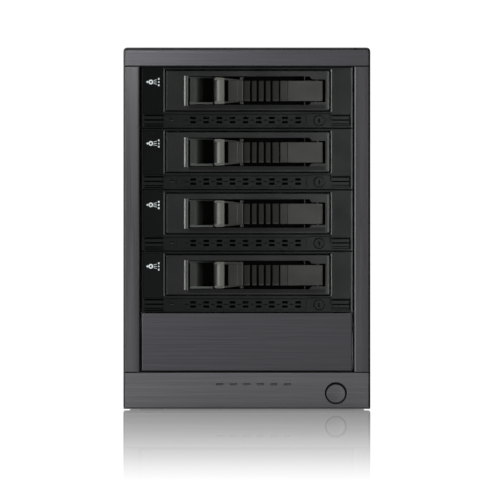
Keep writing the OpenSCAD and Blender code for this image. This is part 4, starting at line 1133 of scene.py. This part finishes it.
# ------------------------------------------------------------------ seal and drive labels
def spare_bay_seal():
    """Foam strip on the sill of the spare bay: fills the slit under the cover's return."""
    bm = bmesh.new()
    box(bm, (-73.6, -186.4, 25.83), (73.6, -182.6, 27.86), 0.45, 3)
    piece("spare_bay_seal", bm, "rubber", 40)


def drive_label(bay):
    """A rectangular and a ring-shaped label on top of the drive."""
    top = bay_top(bay)
    bm = bmesh.new()
    box(bm, (-41, -87, top - 3.62), (12, -42, top - 3.50), 0.03)
    lathe(bm, [(9.0, -0.03), (25.0, -0.03), (25.0, 0.05), (24.9, 0.09), (9.1, 0.09),
               (9.0, 0.05), (9.0, -0.03)], (-5, -125, top - 3.2), "z", 64)
    piece(f"drive_label_{bay}", bm, "label", body=f"tray_{bay}")


spare_bay_seal()
for bay in BAYS:
    drive_label(bay)

# ------------------------------------------------------------------ studio, in metres
deg = math.radians

# World light in degrees: azimuth is 0 in front and grows to the right
LEFT_FADE = (45, 105)
RIGHT_FADE = (95, 135)
FRONT_LIGHT, BACK_LIGHT = 0.20, 1.02       # dim in front of the object, white behind it
# light boxes: azimuth from, to, elevation from, to, strength
LIGHT_BOXES = ((-106, -76, -30, 58, 2.4), (84, 110, -30, 58, 0.15))
BOX_SOFTNESS = 9
TOP_FADE = (46, 66)                        # elevation over which the top light comes in
TOP_LIGHT = 1.0

# area lights: name, place, target, size, power, which pieces they light
AREA_LIGHTS = (
    ("key_corner", (-0.105, -0.39, 0.268), (-0.085, -0.19, 0.236), (0.05, 0.05), 0.064, "strips"),
    ("key_wide", (-0.50, -0.75, 0.16), (-0.06, -0.19, 0.12), (0.30, 0.5), 2.6, "strips"),
    ("panel_right", (0.22, -0.40, 0.14), (0.07, -0.19, 0.14), (0.08, 0.5), 3.4, "bays"),
    ("rake_left", (-1.55, -0.42, 0.16), (0.0, -0.19, 0.15), (0.5, 0.8), 34, "bays"),
    ("rake_right", (1.45, -0.36, 0.16), (0.0, -0.19, 0.15), (0.4, 0.8), 7, "bays"))
RECEIVERS = {
    "strips": ["bezel_core", "bezel_top_bar", "bezel_bottom_bar", "bezel_left_pillar",
               "bezel_right_pillar", "bay_cover", "power_button"],
    "bays": [f"{part}_{bay}" for part in ("bay_bezel", "tray_front", "lever", "latch", "key_lock")
             for bay in BAYS]}

FLOOR_RADIUS = 30
FLOOR_Z = -0.0002
MIRROR_REACH = 1.1
# floor mirror: distance from the object, strength
MIRROR_STOPS = ((0.0, 0.80), (0.19, 0.738), (0.39, 0.626), (0.56, 0.486), (0.72, 0.329),
                (0.85, 0.168), (0.98, 0.038), (1.05, 0.0))


def build_world():
    """Plain white to the camera, a softbox studio to everything else."""
    world = bpy.data.worlds.new("studio")
    scene.world = world
    world.use_nodes = True
    g = Graph(world.node_tree)
    output = g.node("OutputWorld")
    backdrop = g.node("Background", {0: (1, 1, 1), 1: 1.05})

    def ramp(value, low, high, to_low, to_high):
        return g.remap(value, deg(low), deg(high), to_low, to_high, "SMOOTHSTEP")

    def window(value, low, high):
        return g.mul(ramp(value, low - BOX_SOFTNESS, low, 0, 1),
                     ramp(value, high, high + BOX_SOFTNESS, 1, 0))

    direction = g.node("SeparateXYZ", {0: g.node("TexCoord").outputs["Generated"]}).outputs
    azimuth = g.math("ARCTAN2", direction[0], g.mul(direction[1], -1.0))
    elevation = g.math("ARCSINE", direction[2])
    total = g.math("MAXIMUM",
                   ramp(g.mul(azimuth, -1.0), *LEFT_FADE, FRONT_LIGHT, BACK_LIGHT),
                   ramp(azimuth, *RIGHT_FADE, FRONT_LIGHT, BACK_LIGHT))
    for az0, az1, el0, el1, strength in LIGHT_BOXES:
        shape = g.mul(window(azimuth, az0, az1), window(elevation, el0, el1))
        total = g.add(total, g.mul(shape, strength))
    total = g.add(total, ramp(elevation, *TOP_FADE, 0, TOP_LIGHT))
    softboxes = g.node("Background", {0: (0.99, 0.995, 1.0), 1: total})
    camera_ray = g.node("LightPath").outputs["Is Camera Ray"]
    mixed = g.node("MixShader", {0: camera_ray, 1: softboxes.outputs[0],
                                 2: backdrop.outputs[0]})
    g.put(output.inputs[0], mixed.outputs[0])


def area_light(name, place, target, size, power, receivers):
    light = bpy.data.lights.new(name, "AREA")
    light.shape = "RECTANGLE"
    light.size, light.size_y = size
    light.energy = power
    obj = bpy.data.objects.new(name, light)
    scene.collection.objects.link(obj)
    obj.location = place
    obj.rotation_mode = "QUATERNION"
    obj.rotation_quaternion = (Vector(target) - Vector(place)).to_track_quat("-Z", "Y")
    obj.visible_camera = False
    lit = bpy.data.collections.new(name + "_receivers")
    for node_name in RECEIVERS[receivers]:
        lit.objects.link(NODE[node_name])
    obj.light_linking.receiver_collection = lit


def mirror_strength(n):
    """Falls with the distance from the object."""
    front = n.math("MAXIMUM", n.mul(n.add(n.y, 0.19), -1.0), 0.0)
    side = n.math("MAXIMUM", n.sub(n.math("ABSOLUTE", n.x), 0.10), 0.0)
    back = n.math("MAXIMUM", n.y, 0.0)
    distance = n.add(front, n.add(n.mul(side, 2.0), back))
    ramp = n.node("ValToRGB", {0: n.math("DIVIDE", distance, MIRROR_REACH)})
    elements = ramp.color_ramp.elements
    while len(elements) < len(MIRROR_STOPS):
        elements.new(0.5)
    for element, (place, value) in zip(elements, MIRROR_STOPS):
        element.position = place / MIRROR_REACH
        element.color = (value, value, value, 1)
    return ramp.outputs[0]


def floor_material():
    """Shadow-free white in level views, matt from above, with a mirror seen by the camera."""
    n = Shader("studio_floor")
    n.principled(Base_Color=(0.80, 0.80, 0.80), Roughness=0.9, Specular_IOR_Level=0.0)
    incoming = n.node("NewGeometry").outputs["Incoming"]
    camera_ray = n.node("LightPath").outputs["Is Camera Ray"]

    def facing(direction):
        dot = n.node("VectorMath", {0: incoming, 1: direction}, operation="DOT_PRODUCT")
        return dot.outputs["Value"]

    height = n.math("ABSOLUTE", facing((0, 0, 1)))       # sine of the viewing elevation
    grazing = n.remap(height, math.sin(deg(4)), math.sin(deg(20)), 1.0, 0.42)
    glow = n.node("Emission", {0: (1, 1, 1), 1: 1.04})
    base = n.node("MixShader", {0: n.mul(grazing, camera_ray), 1: n.bsdf.outputs[0],
                                2: glow.outputs[0]})
    mirror = n.node("BsdfAnisotropic", {"Color": (1, 1, 1), "Roughness": 0.0})
    level = n.remap(height, math.sin(deg(5)), math.sin(deg(30)), 1.0, 0.10)
    # from behind, the floor would mirror the dim side of the studio
    ahead = n.remap(facing((0, -1, 0)), -0.3, 0.5, 0.10, 1.0)
    strength = n.mul(mirror_strength(n), n.mul(level, ahead))
    surface = n.node("MixShader", {0: n.mul(strength, camera_ray), 1: base.outputs[0],
                                   2: mirror.outputs[0]})
    n.put(n.output.inputs[0], surface.outputs[0])
    return n.material


def build_floor():
    mesh = bpy.data.meshes.new("floor")
    bm = bmesh.new()
    for i in range(64):
        angle = i * math.tau / 64
        bm.verts.new((FLOOR_RADIUS * math.cos(angle), FLOOR_RADIUS * math.sin(angle), FLOOR_Z))
    bm.faces.new(bm.verts)
    bm.to_mesh(mesh)
    bm.free()
    floor = bpy.data.objects.new("floor", mesh)
    scene.collection.objects.link(floor)
    mesh.materials.append(floor_material())


def build_camera():
    """A long lens, level and square to the front."""
    distance = 3.2                                       # from the plane y = -0.190
    data = bpy.data.cameras.new("camera")
    camera = bpy.data.objects.new("camera", data)
    scene.collection.objects.link(camera)
    camera.location = (0.002172414, -0.190 - distance, 0.110175862)
    camera.rotation_euler = (deg(90), 0, 0)
    data.sensor_width = 36
    data.lens = 334.08
    data.clip_start, data.clip_end = 0.1, 100
    scene.camera = camera


build_world()
for row in AREA_LIGHTS:
    area_light(*row)
build_floor()
build_camera()
scene.view_settings.view_transform = "Standard"
scene.view_settings.look = "None"
